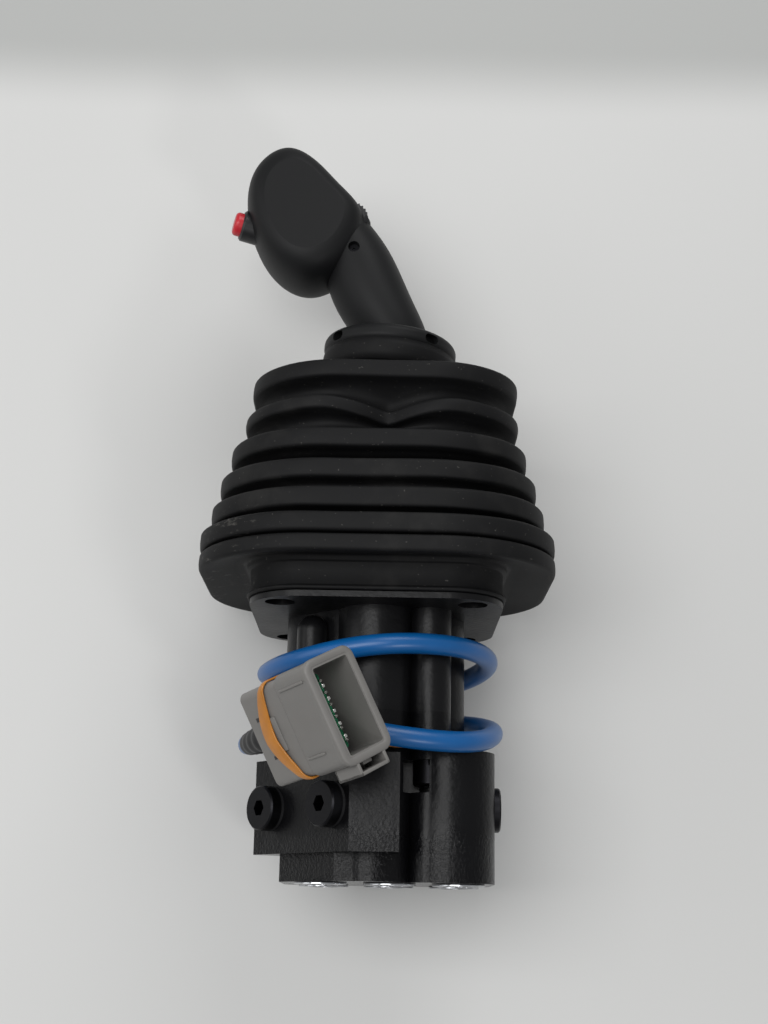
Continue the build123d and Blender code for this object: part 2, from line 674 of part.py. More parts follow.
def make_collar():
    """The collar that clamps the bellows' neck, with slots round its rounded side."""
    outer = COLLAR_DIAMETER / 2
    ring = tube(COLLAR_DIAMETER, 2 * NECK_RADIUS + 2 * RUBBER_GAP, 0, COLLAR_THICKNESS)
    rims = ring.edges().filter_by(lambda edge: edge.length > 2 * outer * 3)
    ring = fillet(rims, COLLAR_THICKNESS * 0.4)
    slot = Pos(outer, 0, COLLAR_THICKNESS / 2) * Rot(0, 90, 0) * extrude(
        SlotOverall(COLLAR_SLOT_LENGTH, COLLAR_SLOT_WIDTH, rotation=90), COLLAR_SLOT_DEPTH, both=True
    )
    for index in range(COLLAR_SLOTS):
        ring -= Rot(0, 0, COLLAR_SLOT_ANGLE - 90 + index * 360 / COLLAR_SLOTS) * slot
    return on_lever(COLLAR_HEIGHT) * ring


# ---------------------------------------------------------------- bellows
def lean(height):
    """How far the bellows' centre follows the lever at a height."""
    return max(0.0, height - BEND_HEIGHT) * tan(radians(LEVER_RAKE))


def fold_slab(half, bottom, top, round_over=0.0):
    """A rounded-square slab, as one fold or valley of the bellows."""
    plan = RectangleRounded(2 * half, 2 * (half - FOLD_DEPTH_LOSS), half * FOLD_CORNER_SHARE)
    slab = Pos(lean((bottom + top) / 2), 0, bottom) * extrude(plan, top - bottom)
    if round_over:
        slab = fillet(slab.faces().filter_by(Axis.Z).edges(), round_over)
    return slab


def bellows_form(inset, round_over):
    """The bellows as a solid, moved inwards by an inset for its hollow."""
    form = []
    for half, bottom, top in FOLDS:
        form.append(fold_slab(half - inset, bottom + inset, top - inset, round_over))
    for lower, upper in zip(FOLDS, FOLDS[1:]):
        half = min(lower[0], upper[0]) - FOLD_VALLEY - inset
        form.append(fold_slab(half, lower[1] + FOLD_ROUND + inset / 2, upper[2] - FOLD_ROUND - inset / 2))
    top_half, top_bottom, top_z = FOLDS[-1]
    shoulder = top_half - FOLD_ROUND - inset
    base = Plane((lean(top_z), 0, top_z - inset)) * RectangleRounded(
        2 * shoulder, 2 * (shoulder - FOLD_DEPTH_LOSS), shoulder * FOLD_CORNER_SHARE
    )
    neck = on_lever(NECK_BOTTOM) * Pos(0, 0, -inset) * Circle(NECK_RADIUS - inset)
    form.append(loft([base, neck]))
    form.append(on_lever(NECK_BOTTOM) * rod(2 * (NECK_RADIUS - inset), -inset, NECK_TOP - NECK_BOTTOM))
    return form


def make_boot():
    """The bellows: a skirt over the flange's rebate, seven hollow folds and a neck."""
    skirt_top = FOLDS[0][2] - FOLD_ROUND
    skirt_plan = RectangleRounded(SKIRT_WIDTH, SKIRT_WIDTH, FLANGE_CORNER)
    grip_width = FLANGE_WIDTH - 2 * FLANGE_REBATE + 2 * RUBBER_GAP
    hollow_plan = RectangleRounded(grip_width, grip_width, FLANGE_CORNER - FLANGE_REBATE)
    outside = Pos(0, 0, SKIRT_BOTTOM) * extrude(skirt_plan, skirt_top - SKIRT_BOTTOM)
    inside = Pos(0, 0, SKIRT_BOTTOM) * extrude(hollow_plan, skirt_top - SKIRT_BOTTOM)
    outside = outside + bellows_form(0.0, FOLD_ROUND)
    inside = inside + bellows_form(BOOT_WALL, 0.0)
    return outside - inside


# ---------------------------------------------------------------- grip
def handle_form():
    """The hand grip's column, oval and leaning away from the operator towards its head."""
    ovals = [Pos(x, 0, z) * Ellipse(across, deep) for x, z, across, deep in HANDLE_SECTIONS]
    return loft(ovals)


def head_form():
    """The grip's head: one outline seen from the side, drawn in towards both cheeks."""
    middle = Vector(HEAD_CENTRE[0], 0, HEAD_CENTRE[1])
    slices = []
    for place, share in HEAD_SECTIONS:
        corners = [middle + (Vector(x, 0, z) - middle) * share for x, z in HEAD_OUTLINE]
        edge = Spline([corner + Vector(0, place, 0) for corner in corners], periodic=True)
        slices.append(make_face(edge))
    return loft(slices)


def seam_zone(seam, *around):
    """Everything on one side of a seam, as a prism across the whole grip."""
    outline = make_face(Polyline(*seam, *around, close=True))
    return extrude(Plane.XZ * outline, 60, both=True)


def control_face():
    """The sloping face for the thumb controls, X running down it and Z out of it."""
    slope = radians(PLATE_SLOPE)
    return Plane(PLATE_PLACE, x_dir=(cos(slope), 0, -sin(slope)), z_dir=(sin(slope), 0, cos(slope)))


def trigger_axis():
    return Plane(TRIGGER_PLACE, z_dir=TRIGGER_DIRECTION)


def thumb_recess():
    """What the thumb controls take out of the grip."""
    length, width, depth = THUMB_PLATE
    gap = 2 * RUNNING_FIT
    recess = Pos(0, 0, PLATE_CLEAR / 2 - depth / 2) * Box(length + gap, width + gap, depth + PLATE_CLEAR)
    recess += rocker_place() * Rot(90, 0, 0) * Cylinder(
        ROCKER_RADIUS + SCREW_CLEARANCE, ROCKER_WIDTH + 2 * SEAT_GAP
    )
    recess += rocker_place() * Rot(90, 0, 0) * Cylinder(ROCKER_PIN / 2, ROCKER_PIN_LENGTH)
    recess += Pos(THUMB_BUTTON_OFFSET, 0) * rod(
        THUMB_BUTTON_DIAMETER + 2, -depth - THUMB_BUTTON_DEPTH - THUMB_BUTTON_TRAVEL - SEAT_GAP, 0
    )
    return control_face() * recess


def rocker_place():
    return Pos(ROCKER_OFFSET, 0, -ROCKER_SINK)


def make_grip():
    """The grip's fixed pieces, cut along their seams and for what they hold."""
    handle = handle_form()
    spigot = on_lever(SPIGOT_BOTTOM) * rod(2 * SPIGOT_RADIUS, 0, HANDLE_SECTIONS[0][1] + 1 - SPIGOT_BOTTOM)
    head = head_form() - handle
    handle = handle + spigot - on_lever(BEND_HEIGHT) * rod(ROD_DIAMETER, 0, ROD_TOP - BEND_HEIGHT)
    panel_zone = seam_zone(PANEL_SEAM, (-39.6, 120.0), (-90.0, 120.0), (-90.0, 188.0))
    cover_zone = seam_zone(COVER_SEAM, (-24.0, 120.0), (-47.0, 120.0))
    recess = thumb_recess()
    pocket = trigger_axis() * rod(BEZEL_DIAMETER, -BEZEL_SINK, 3 * BEZEL_HEIGHT)
    panel = (head & panel_zone) - pocket
    cover = (head & cover_zone) - panel_zone
    shell = head - panel_zone - cover_zone - recess - pocket
    handle = handle - recess
    screws = []
    for side in (-1, 1):
        place = Plane(
            (GRIP_SCREW_PLACE[0], side * GRIP_SCREW_SEAT, GRIP_SCREW_PLACE[1]),
            x_dir=(1, 0, 0),
            z_dir=(0, side, 0),
        )
        handle -= place * rod(GRIP_SCREW_BORE, 0, GRIP_SCREW_SEAT)
        handle -= place * rod(GRIP_SCREW_THREAD, -GRIP_SCREW_REACH, 0)
        screw = rod(GRIP_SCREW_BORE - 2 * RUNNING_FIT, 0, GRIP_SCREW_THREAD / 2)
        screw += rod(GRIP_SCREW_THREAD, -GRIP_SCREW_REACH, 0)
        drive = Pos(0, 0, GRIP_SCREW_THREAD / 4) * extrude(hexagon(GRIP_SCREW_THREAD / 2), GRIP_SCREW_THREAD)
        screws.append(place * (screw - drive))
    return handle, shell, panel, cover, screws


def make_thumb_controls():
    """The face plate, its rocker on a pin and its push button."""
    length, width, depth = THUMB_PLATE
    gap = 2 * SEAT_GAP
    plate = Pos(0, 0, -depth / 2) * Box(length, width, depth)
    plate = fillet(plate.edges().filter_by(Axis.Z), THUMB_PLATE_CORNER)
    slot_length = 2 * (ROCKER_RADIUS + SCREW_CLEARANCE)
    plate -= Pos(ROCKER_OFFSET, 0, -depth / 2) * Box(slot_length, ROCKER_WIDTH + gap, 2 * depth)
    plate -= Pos(THUMB_BUTTON_OFFSET, 0) * rod(THUMB_BUTTON_DIAMETER + 2 * RUNNING_FIT, -depth, 0)
    rocker = Rot(90, 0, 0) * Cylinder(ROCKER_RADIUS, ROCKER_WIDTH)
    rocker -= Rot(90, 0, 0) * Cylinder(ROCKER_PIN / 2 + RUNNING_FIT, 2 * ROCKER_WIDTH)
    for index in range(-2, 3):
        ridge = Rot(0, index * ROCKER_RIDGE_PITCH, 0) * Pos(0, 0, ROCKER_RADIUS)
        rocker -= ridge * Rot(90, 0, 0) * Cylinder(ROCKER_RIDGE_DEPTH, 2 * ROCKER_WIDTH)
    pin = Rot(90, 0, 0) * Cylinder(ROCKER_PIN / 2, ROCKER_PIN_LENGTH)
    button = rod(THUMB_BUTTON_DIAMETER, -depth - THUMB_BUTTON_DEPTH, THUMB_BUTTON_PROUD)
    button = fillet(button.edges().group_by(Axis.Z)[-1], THUMB_BUTTON_PROUD / 2)
    face = control_face()
    return (
        face * plate,
        face * rocker_place() * rocker,
        face * rocker_place() * pin,
        face * Pos(THUMB_BUTTON_OFFSET, 0) * button,
    )


def make_trigger():
    """The finger button in its threaded bezel."""
    bezel = tube(BEZEL_DIAMETER, BUTTON_DIAMETER + 2 * RUNNING_FIT, -BEZEL_SINK, BEZEL_HEIGHT)
    bezel = chamfer(bezel.edges().group_by(Axis.Z)[-1].sort_by(SortBy.LENGTH)[-1], BEZEL_CHAMFER)
    bottom = -BEZEL_SINK + BUTTON_TRAVEL + 2 * SEAT_GAP
    button = rod(BUTTON_DIAMETER, bottom, BEZEL_HEIGHT + BUTTON_PROUD)
    button = fillet(button.edges().group_by(Axis.Z)[-1], BUTTON_PROUD / 2)
    return trigger_axis() * bezel, trigger_axis() * button


# ---------------------------------------------------------------- harness
def connector_frame():
    """The connector's own frame: X along its long side, Z out of its mating face."""
    return Plane(CONNECTOR_PLACE, x_dir=LONG_DIRECTION, z_dir=MATING_DIRECTION)


def contact_places():
    return [
        Pos((index - (PINS_PER_ROW - 1) / 2) * PIN_PITCH, row * ROW_PITCH / 2)
        for row in (-1, 1)
        for index in range(PINS_PER_ROW)
    ]


def make_connector():
    """The twelve-way connector: shell with its open socket, wedge, contacts and rear seal."""
    half = CONNECTOR_LENGTH / 2
    outline = RectangleRounded(CONNECTOR_LONG, CONNECTOR_SHORT, CONNECTOR_CORNER)
    inside = offset(outline, -SOCKET_WALL)
    shell = Pos(0, 0, -half) * extrude(outline, CONNECTOR_LENGTH)
    shell -= Pos(0, 0, half - SOCKET_DEPTH) * extrude(inside, SOCKET_DEPTH)
    shell -= Pos(0, 0, -half) * extrude(inside, SEAL_RECESS)
    floor = half - SOCKET_DEPTH
    bore = rod(CONTACT_DIAMETER, SEAL_RECESS - half, floor)
    wedge = Pos(0, 0, floor) * extrude(
        RectangleRounded(PINS_PER_ROW * PIN_PITCH + 1, ROW_PITCH + PIN_PITCH, 1), WEDGE_PROUD
    )
    contacts = []
    for place in contact_places():
        shell -= place * bore
        wedge -= place * rod(CONTACT_DIAMETER, floor, floor + WEDGE_PROUD)
        contact = rod(CONTACT_DIAMETER, SEAL_RECESS - half, floor + CONTACT_PROUD)
        contacts.append(place * chamfer(contact.edges().group_by(Axis.Z)[-1], CONTACT_DIAMETER / 4))
    seal = Pos(0, 0, -half) * extrude(inside, SEAL_RECESS)
    seal += rod(CABLE_DIAMETER + 3, -half - SEAL_SLEEVE, -half)
    frame = connector_frame()
    return frame * shell, frame * wedge, [frame * contact for contact in contacts], frame * seal


def make_band():
    """The rubber band: one loop round the connector, one stretched round the column."""
    gap = RUBBER_GAP
    inner = RectangleRounded(CONNECTOR_LONG + 2 * gap, CONNECTOR_SHORT + 2 * gap, CONNECTOR_CORNER + gap)
    loop = extrude(offset(inner, BAND_THICKNESS) - inner, BAND_WIDTH)
    column = make_hull(column_plan().edges())
    stretched = extrude(offset(column, gap + BAND_THICKNESS) - offset(column, gap), BAND_WIDTH)
    return [connector_frame() * Pos(0, 0, BAND_PLACE) * loop, Pos(0, 0, COLUMN_BAND_HEIGHT) * stretched]


def cable_points():
    """The cable's corners, from its gland to the connector's rear seal."""
    points = []
    for angle, distance, height in CABLE_ROUTE:
        turn = radians(angle)
        points.append(Vector(CABLE_CENTRE_X + distance * cos(turn), distance * sin(turn), height))
    elbow = Vector(*GLAND_PLACE, -GLAND_DROP)
    points.insert(0, elbow + (points[0] - elbow).normalized() * GLAND_REACH)
    frame = connector_frame()
    rear = -CONNECTOR_LENGTH / 2 - SEAL_SLEEVE
    points.append(frame.from_local_coords((0, 0, rear - CABLE_RUN_IN)))
    points.append(frame.from_local_coords((0, 0, rear)))
    return points


def make_cable():
    """The cable as straight runs joined by the largest arcs that the runs allow."""
    points = cable_points()
    radii = []
    for before, corner, after in zip(points, points[1:], points[2:]):
        run_in, run_out = corner - before, after - corner
        half_turn = radians(run_in.get_angle(run_out)) / 2
        radii.append(CABLE_SWEEP_SHARE * min(run_in.length, run_out.length) / tan(half_turn))
    path = FilletPolyline(*points, radius=radii)
    section = Plane(path @ 0, z_dir=path % 0) * Circle(CABLE_DIAMETER / 2)
    cable = sweep(section, path)
    share = cable.volume / (section.area * path.length)
    print(f"cable {path.length:.0f} mm, volume / (section x length) {share:.4f}")
    print("cable radii", [round(radius) for radius in radii])
    return cable


def make_gland():
    """The rubber elbow under the flange that the cable leaves by."""
    x, y = GLAND_PLACE
    radius = GLAND_DIAMETER / 2
    elbow = Pos(x, y) * rod(GLAND_DIAMETER, -GLAND_DROP, GLAND_SPOT_DEPTH)
    elbow += Pos(x, y, -GLAND_DROP) * Sphere(radius)
    elbow += drill((x, y, -GLAND_DROP), cable_points()[0], GLAND_ARM)
    return elbow + Pos(x, y) * rod(GLAND_SPIGOT, 0, FLANGE_THICKNESS)


# ---------------------------------------------------------------- build
parts["valve_housing"] = [make_housing()]
parts["port_block"] = [make_port_block()]
parts["port_plugs"], parts["plug_seals"] = make_plugs()
parts["clamp_screws"], parts["clamp_washers"] = make_clamp_screws()
make_stations()
plate, plate_screws = make_retaining_plate()
parts["retaining_plate"] = [plate]
parts["plate_screws"] = plate_screws
post, cross, yoke = make_joint()
parts["joint_post"] = [post]
parts["joint_cross"] = [cross]
parts["joint_yoke"] = [yoke]
parts["cam_plate"] = [make_cam_plate()]
lever_rod, lock_nut = make_lever()
parts["lever_rod"] = [lever_rod]
parts["lock_nut"] = [lock_nut]
parts["collar_ring"] = [make_collar()]
parts["bellows_boot"] = [make_boot()]
handle, shell, panel, cover, grip_screws = make_grip()
parts["grip_handle"] = [handle]
parts["head_shell"] = [shell]
parts["trigger_panel"] = [panel]
parts["palm_cover"] = [cover]
parts["grip_screws"] = grip_screws
thumb_plate, rocker, rocker_pin, thumb_button = make_thumb_controls()
parts["thumb_plate"] = [thumb_plate]
parts["thumb_rocker"] = [rocker]
parts["rocker_pin"] = [rocker_pin]
parts["thumb_button"] = [thumb_button]
bezel, trigger_button = make_trigger()
parts["trigger_bezel"] = [bezel]
parts["trigger_button"] = [trigger_button]
connector_shell, wedge_lock, contacts, rear_seal = make_connector()
parts["connector_shell"] = [connector_shell]
parts["wedge_lock"] = [wedge_lock]
parts["contact_pins"] = contacts
parts["rear_seal"] = [rear_seal]
parts["rubber_band"] = make_band()
parts["cable"] = [make_cable()]
parts["cable_gland"] = [make_gland()]

os.makedirs("parts", exist_ok=True)
for name, solids in parts.items():
    export_step(Compound(children=solids) if len(solids) > 1 else solids[0], f"parts/{name}.step")
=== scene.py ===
"""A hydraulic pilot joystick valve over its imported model: finishes, soft pieces, light and camera."""

import json
import logging
import math
from dataclasses import dataclass, field
from enum import Enum
from itertools import product
from typing import Mapping, Optional, Sequence, Union

import bpy
from mathutils import Matrix, Vector, noise


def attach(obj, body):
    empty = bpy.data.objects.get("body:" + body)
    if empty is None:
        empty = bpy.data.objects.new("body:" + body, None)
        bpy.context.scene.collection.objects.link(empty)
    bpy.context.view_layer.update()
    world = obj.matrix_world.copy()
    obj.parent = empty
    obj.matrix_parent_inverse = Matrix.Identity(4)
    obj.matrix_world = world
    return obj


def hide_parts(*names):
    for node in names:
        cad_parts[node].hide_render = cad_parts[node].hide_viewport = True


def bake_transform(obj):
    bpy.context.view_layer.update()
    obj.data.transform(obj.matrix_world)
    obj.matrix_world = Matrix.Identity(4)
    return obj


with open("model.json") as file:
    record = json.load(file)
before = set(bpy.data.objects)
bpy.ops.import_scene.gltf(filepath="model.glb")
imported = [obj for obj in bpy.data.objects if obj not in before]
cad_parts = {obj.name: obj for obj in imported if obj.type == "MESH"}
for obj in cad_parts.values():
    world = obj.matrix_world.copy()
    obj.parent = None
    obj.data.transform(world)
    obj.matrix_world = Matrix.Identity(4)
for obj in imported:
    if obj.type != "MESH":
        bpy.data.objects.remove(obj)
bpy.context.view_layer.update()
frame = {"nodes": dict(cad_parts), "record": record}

LOG = logging.getLogger("joystick_valve")
FULL_TURN = 2 * math.pi
SEED = 7

Colour = tuple[float, float, float]
Loop = list[Vector]
Place = tuple[float, float, float]
Span = tuple[Place, Place]


class Body(str, Enum):
    """The moving bodies that new pieces ride on."""

    VALVE = "valve"
    CROSS = "joint_cross"
    LEVER = "lever"


class Slot(str, Enum):
    """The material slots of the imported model."""

    SATIN_PAINT = "satin_paint"
    CAST_PAINT = "cast_paint"
    BLACK_STEEL = "black_steel"
    ZINC_STEEL = "zinc_steel"
    GROUND_STEEL = "ground_steel"
    SPRING_STEEL = "spring_steel"
    BUSH_BRASS = "bush_brass"
    SEAL_RUBBER = "seal_rubber"
    BOOT_RUBBER = "boot_rubber"
    GRIP_PLASTIC = "grip_plastic"
    CONTROL_PLASTIC = "control_plastic"
    BUTTON_RED = "button_red"
    CONNECTOR_GREY = "connector_grey"
    WEDGE_GREEN = "wedge_green"
    CONTACT_METAL = "contact_metal"
    BAND_AMBER = "band_amber"
    CABLE_BLUE = "cable_blue"


# ---------------------------------------------------------------- shader graph
class Wire:
    """A node's output. Arithmetic on it adds Math nodes to its graph."""

    def __init__(self, graph: "Graph", socket: bpy.types.NodeSocket) -> None:
        """Args:
            graph: the graph that new nodes go into.
            socket: the output that this wire carries.
        """
        self.graph = graph
        self.socket = socket

    def math(self, operation: str, first: "Value", second: "Value" = 0.0) -> "Wire":
        """Adds one Math node.

        Args:
            operation: the node's operation.
            first: its first value.
            second: its second value.

        Returns:
            The node's output.
        """
        return self.graph.add("ShaderNodeMath", {"operation": operation}, {0: first, 1: second})

    def __add__(self, other: "Value") -> "Wire":
        """The sum."""
        return self.math("ADD", self, other)

    def __radd__(self, other: "Value") -> "Wire":
        """The sum, with the wire second."""
        return self.math("ADD", other, self)

    def __sub__(self, other: "Value") -> "Wire":
        """The difference."""
        return self.math("SUBTRACT", self, other)

    def __rsub__(self, other: "Value") -> "Wire":
        """The difference, with the wire second."""
        return self.math("SUBTRACT", other, self)

    def __mul__(self, other: "Value") -> "Wire":
        """The product."""
        return self.math("MULTIPLY", self, other)

    def __rmul__(self, other: "Value") -> "Wire":
        """The product, with the wire second."""
        return self.math("MULTIPLY", other, self)


Value = Union[Wire, float, Sequence[float]]


class Graph:
    """The node tree of one new material."""

    def __init__(self, name: str) -> None:
        """Args:
            name: the material's name.
        """
        self.material = bpy.data.materials.new(name)
        self.material.use_nodes = True
        self.tree = self.material.node_tree
        self.tree.nodes.clear()

    def add(
        self,
        kind: str,
        settings: Optional[Mapping[str, object]] = None,
        inputs: Optional[Mapping[Union[str, int], Value]] = None,
        output: Union[str, int] = 0,
    ) -> Wire:
        """Adds one node of any type.

        Args:
            kind: the node's type.
            settings: its properties, set first.
            inputs: values or wires for its sockets, by name or number.
            output: the output to return, by name or number.

        Returns:
            That output.
        """
        node = self.tree.nodes.new(kind)
        for name, value in (settings or {}).items():
            setattr(node, name, value)
        for name, value in (inputs or {}).items():
            if isinstance(value, Wire):
                self.tree.links.new(value.socket, node.inputs[name])
            else:
                node.inputs[name].default_value = value
        return Wire(self, node.outputs[output]) if len(node.outputs) else Wire(self, node.inputs[0])

    def place(self) -> Wire:
        """The point on the piece, in metres, which moves with its body."""
        return self.add("ShaderNodeTexCoord", output="Object")

    def part(self, place: Wire, axis: str) -> Wire:
        """One coordinate, X, Y or Z, of a point."""
        return self.add("ShaderNodeSeparateXYZ", {}, {0: place}, axis)

    def stretched(self, place: Wire, by: Sequence[float]) -> Wire:
        """The point with each coordinate multiplied by a number."""
        return self.add("ShaderNodeVectorMath", {"operation": "MULTIPLY"}, {0: place, 1: by})

    def noise(self, place: Wire, size: float, detail: float = 2.0, roughness: float = 0.5) -> Wire:
        """Cloudy noise around 0.5.

        Args:
            place: the point.
            size: how large one cloud is, in metres.
            detail: how many finer octaves it has.
            roughness: how strong those are.

        Returns:
            The noise, from 0 to 1.
        """
        values = {"Vector": place, "Scale": 1 / size, "Detail": detail, "Roughness": roughness}
        return self.add("ShaderNodeTexNoise", {}, values)

    def rise(self, value: Value, low: float, high: float) -> Wire:
        """A smooth step from 0 at low to 1 at high, which may be the smaller number."""
        places = {"Value": value, "From Min": low, "From Max": high}
        return self.add("ShaderNodeMapRange", {"interpolation_type": "SMOOTHSTEP"}, places)

    def mix(self, share: Value, first: Value, second: Value) -> Wire:
        """A blend of two colours."""
        colours = {0: share, 6: self.colour(first), 7: self.colour(second)}
        return self.add("ShaderNodeMix", {"data_type": "RGBA"}, colours, 2)

    @staticmethod
    def colour(value: Value) -> Value:
        """A plain colour with its alpha, or the wire that it already is."""
        return value if isinstance(value, Wire) else (*value, 1.0)

    def bump(self, height: Value, depth: float, under: Optional[Wire] = None) -> Wire:
        """A normal that follows a height map.

        Args:
            height: the map, from 0 to 1.
            depth: its full height, in metres.
            under: the normal that it adds to.

        Returns:
            The normal.
        """
        inputs: dict[Union[str, int], Value] = {"Height": height, "Strength": 1.0, "Distance": depth}
        if under is not None:
            inputs["Normal"] = under
        return self.add("ShaderNodeBump", {}, inputs)

    def surface(self, inputs: Mapping[str, Value]) -> bpy.types.Material:
        """Ends the graph in a Principled shader.

        Args:
            inputs: the shader's sockets.

        Returns:
            The finished material.
        """
        shader = self.add("ShaderNodeBsdfPrincipled", {}, inputs)
        self.add("ShaderNodeOutputMaterial", {}, {"Surface": shader})
        return self.material


def shade(colour: Colour, by: float) -> Colour:
    """The colour made lighter or darker."""
    return (colour[0] * by, colour[1] * by, colour[2] * by)


# ---------------------------------------------------------------- finishes
@dataclass(frozen=True)
class Finish:
    """A surface with mottled colour, uneven polish and a fine grain."""

    colour: Colour
    roughness: float
    metallic: float = 0.0
    coat: float = 0.0
    mottle: float = 0.12
    patch: float = 0.018
    polish: float = 0.12
    grain: float = 0.0006
    relief: float = 0.00002
    specular: float = 0.5

    def tint(self, graph: Graph, place: Wire, broad: Wire) -> Wire:
        """The base colour over the surface."""
        return graph.mix(broad, shade(self.colour, 1 - self.mottle), shade(self.colour, 1 + self.mottle))

    def gloss(self, graph: Graph, place: Wire, broad: Wire) -> Wire:
        """The roughness over the surface."""
        return (broad - 0.5) * self.polish + self.roughness

    def skin(self, graph: Graph, place: Wire) -> Wire:
        """The normal, with the surface's grain."""
        return graph.bump(graph.noise(place, self.grain), self.relief)

    def metal(self, graph: Graph, place: Wire) -> Value:
        """How metallic the surface is."""
        return self.metallic

    def make(self, name: str) -> bpy.types.Material:
        """The finish as a material of that name.

        Args:
            name: the material's name.

        Returns:
            The material.
        """
        graph = Graph(name)
        place = graph.place()
        broad = graph.noise(place, self.patch, 4.0, 0.6)
        return graph.surface(
            {
                "Base Color": self.tint(graph, place, broad),
                "Roughness": self.gloss(graph, place, broad),
                "Metallic": self.metal(graph, place),
                "Coat Weight": self.coat,
                "Coat Roughness": 0.2,
                "Specular IOR Level": self.specular,
                "Normal": self.skin(graph, place),
            }
        )


@dataclass(frozen=True)
class DustyRubber(Finish):
    """Matt moulded rubber with a dusting, small specks and scuffs on one side of its lowest folds."""

    dust: Colour = (0.12, 0.115, 0.105)
    scuff_reach: float = -0.045
    scuff_height: float = 0.036

    def tint(self, graph: Graph, place: Wire, broad: Wire) -> Wire:
        """Near black, clouded with dust.

        Args:
            graph: the material's graph.
            place: the point on the piece.
            broad: large clouds.

        Returns:
            The colour.
        """
        base = super().tint(graph, place, broad)
        specks = graph.rise(graph.noise(place, 0.0011, 1.0), 0.735, 0.78)
        streaks = graph.noise(graph.stretched(place, (1.0, 1.0, 2.6)), 0.006, 5.0, 0.75)
        side = graph.rise(graph.part(place, "X"), self.scuff_reach + 0.01, self.scuff_reach - 0.018)
        low = graph.rise(graph.part(place, "Z"), self.scuff_height + 0.006, self.scuff_height - 0.008)
        scuffs = graph.rise(streaks, 0.56, 0.70) * side * low
        cloud = graph.rise(broad, 0.5, 0.75) * 0.07
        return graph.mix(specks * 0.4 + scuffs * 0.5 + cloud, base, self.dust)


@dataclass(frozen=True)
class OrangePeelPaint(Finish):
    """Satin paint with the soft waviness of a sprayed casting."""

    wave: float = 0.0022
    wave_depth: float = 0.00011

    def skin(self, graph: Graph, place: Wire) -> Wire:
        """Waves under the fine grain."""
        waves = graph.bump(graph.noise(place, self.wave, 1.0), self.wave_depth)
        return graph.bump(graph.noise(place, self.grain), self.relief, waves)


@dataclass(frozen=True)
class RoughCasting(OrangePeelPaint):
    """Sand-cast iron under glossy paint, rougher towards its foot, with bare machined port faces."""

    sand: float = 0.0011
    sand_depth: float = 0.00034
    wet_top: float = -0.080
    wet_bottom: float = -0.104
    face_height: float = -0.1099
    face_colour: Colour = (0.52, 0.53, 0.55)

    def faces(self, graph: Graph, place: Wire) -> Wire:
        """1 on the machined port faces."""
        return graph.rise(graph.part(place, "Z"), self.face_height + 0.0001, self.face_height - 0.0001)

    def wet(self, graph: Graph, place: Wire) -> Wire:
        """1 where the paint lies thick and rough, near the foot."""
        clouds = graph.noise(place, 0.012, 3.0)
        foot = graph.rise(graph.part(place, "Z"), self.wet_top, self.wet_bottom)
        return graph.rise(foot + clouds * 0.9, 0.62, 1.15)

    def tint(self, graph: Graph, place: Wire, broad: Wire) -> Wire:
        """Black paint, bare steel on the port faces."""
        return graph.mix(self.faces(graph, place), super().tint(graph, place, broad), self.face_colour)

    def gloss(self, graph: Graph, place: Wire, broad: Wire) -> Wire:
        """Glossier where it is wet."""
        return super().gloss(graph, place, broad) - self.wet(graph, place) * 0.2

    def metal(self, graph: Graph, place: Wire) -> Value:
        """Metal on the port faces only."""
        return self.faces(graph, place)

    def skin(self, graph: Graph, place: Wire) -> Wire:
        """Sand grain that deepens towards the foot.

        Args:
            graph: the material's graph.
            place: the point on the piece.

        Returns:
            The normal.
        """
        bare = 1 - self.faces(graph, place)
        waves = graph.noise(place, self.wave, 2.0)
        sand = graph.noise(place, self.sand, 3.0, 0.62)
        rough = self.wet(graph, place) * 0.9 + 0.1
        waved = graph.bump(waves * bare, self.wave_depth * 2)
        return graph.bump(sand * rough * bare, self.sand_depth, waved)


@dataclass(frozen=True)
class TurnedMetal(Finish):
    """Bright metal with fine turning lines round its axis."""

    line: float = 0.0003

    def gloss(self, graph: Graph, place: Wire, broad: Wire) -> Wire:
        """Lines that are duller and brighter by turns."""
        lines = graph.noise(graph.stretched(place, (0.15, 0.15, 1.0)), self.line, 2.0)
        return super().gloss(graph, place, broad) + (lines - 0.5) * 0.2

    def metal(self, graph: Graph, place: Wire) -> Value:
        """Metal all over."""
        return 1.0


@dataclass(frozen=True)
class WornPlastic(Finish):
    """Moulded plastic with handling marks."""

    mark: Colour = (0.3, 0.3, 0.3)
    wear: float = 0.15

    def tint(self, graph: Graph, place: Wire, broad: Wire) -> Wire:
        """The moulded colour with faint pale marks."""
        marks = graph.rise(graph.noise(graph.stretched(place, (1, 3, 1)), 0.004, 6.0, 0.7), 0.62, 0.75)
        return graph.mix(marks * self.wear, super().tint(graph, place, broad), self.mark)


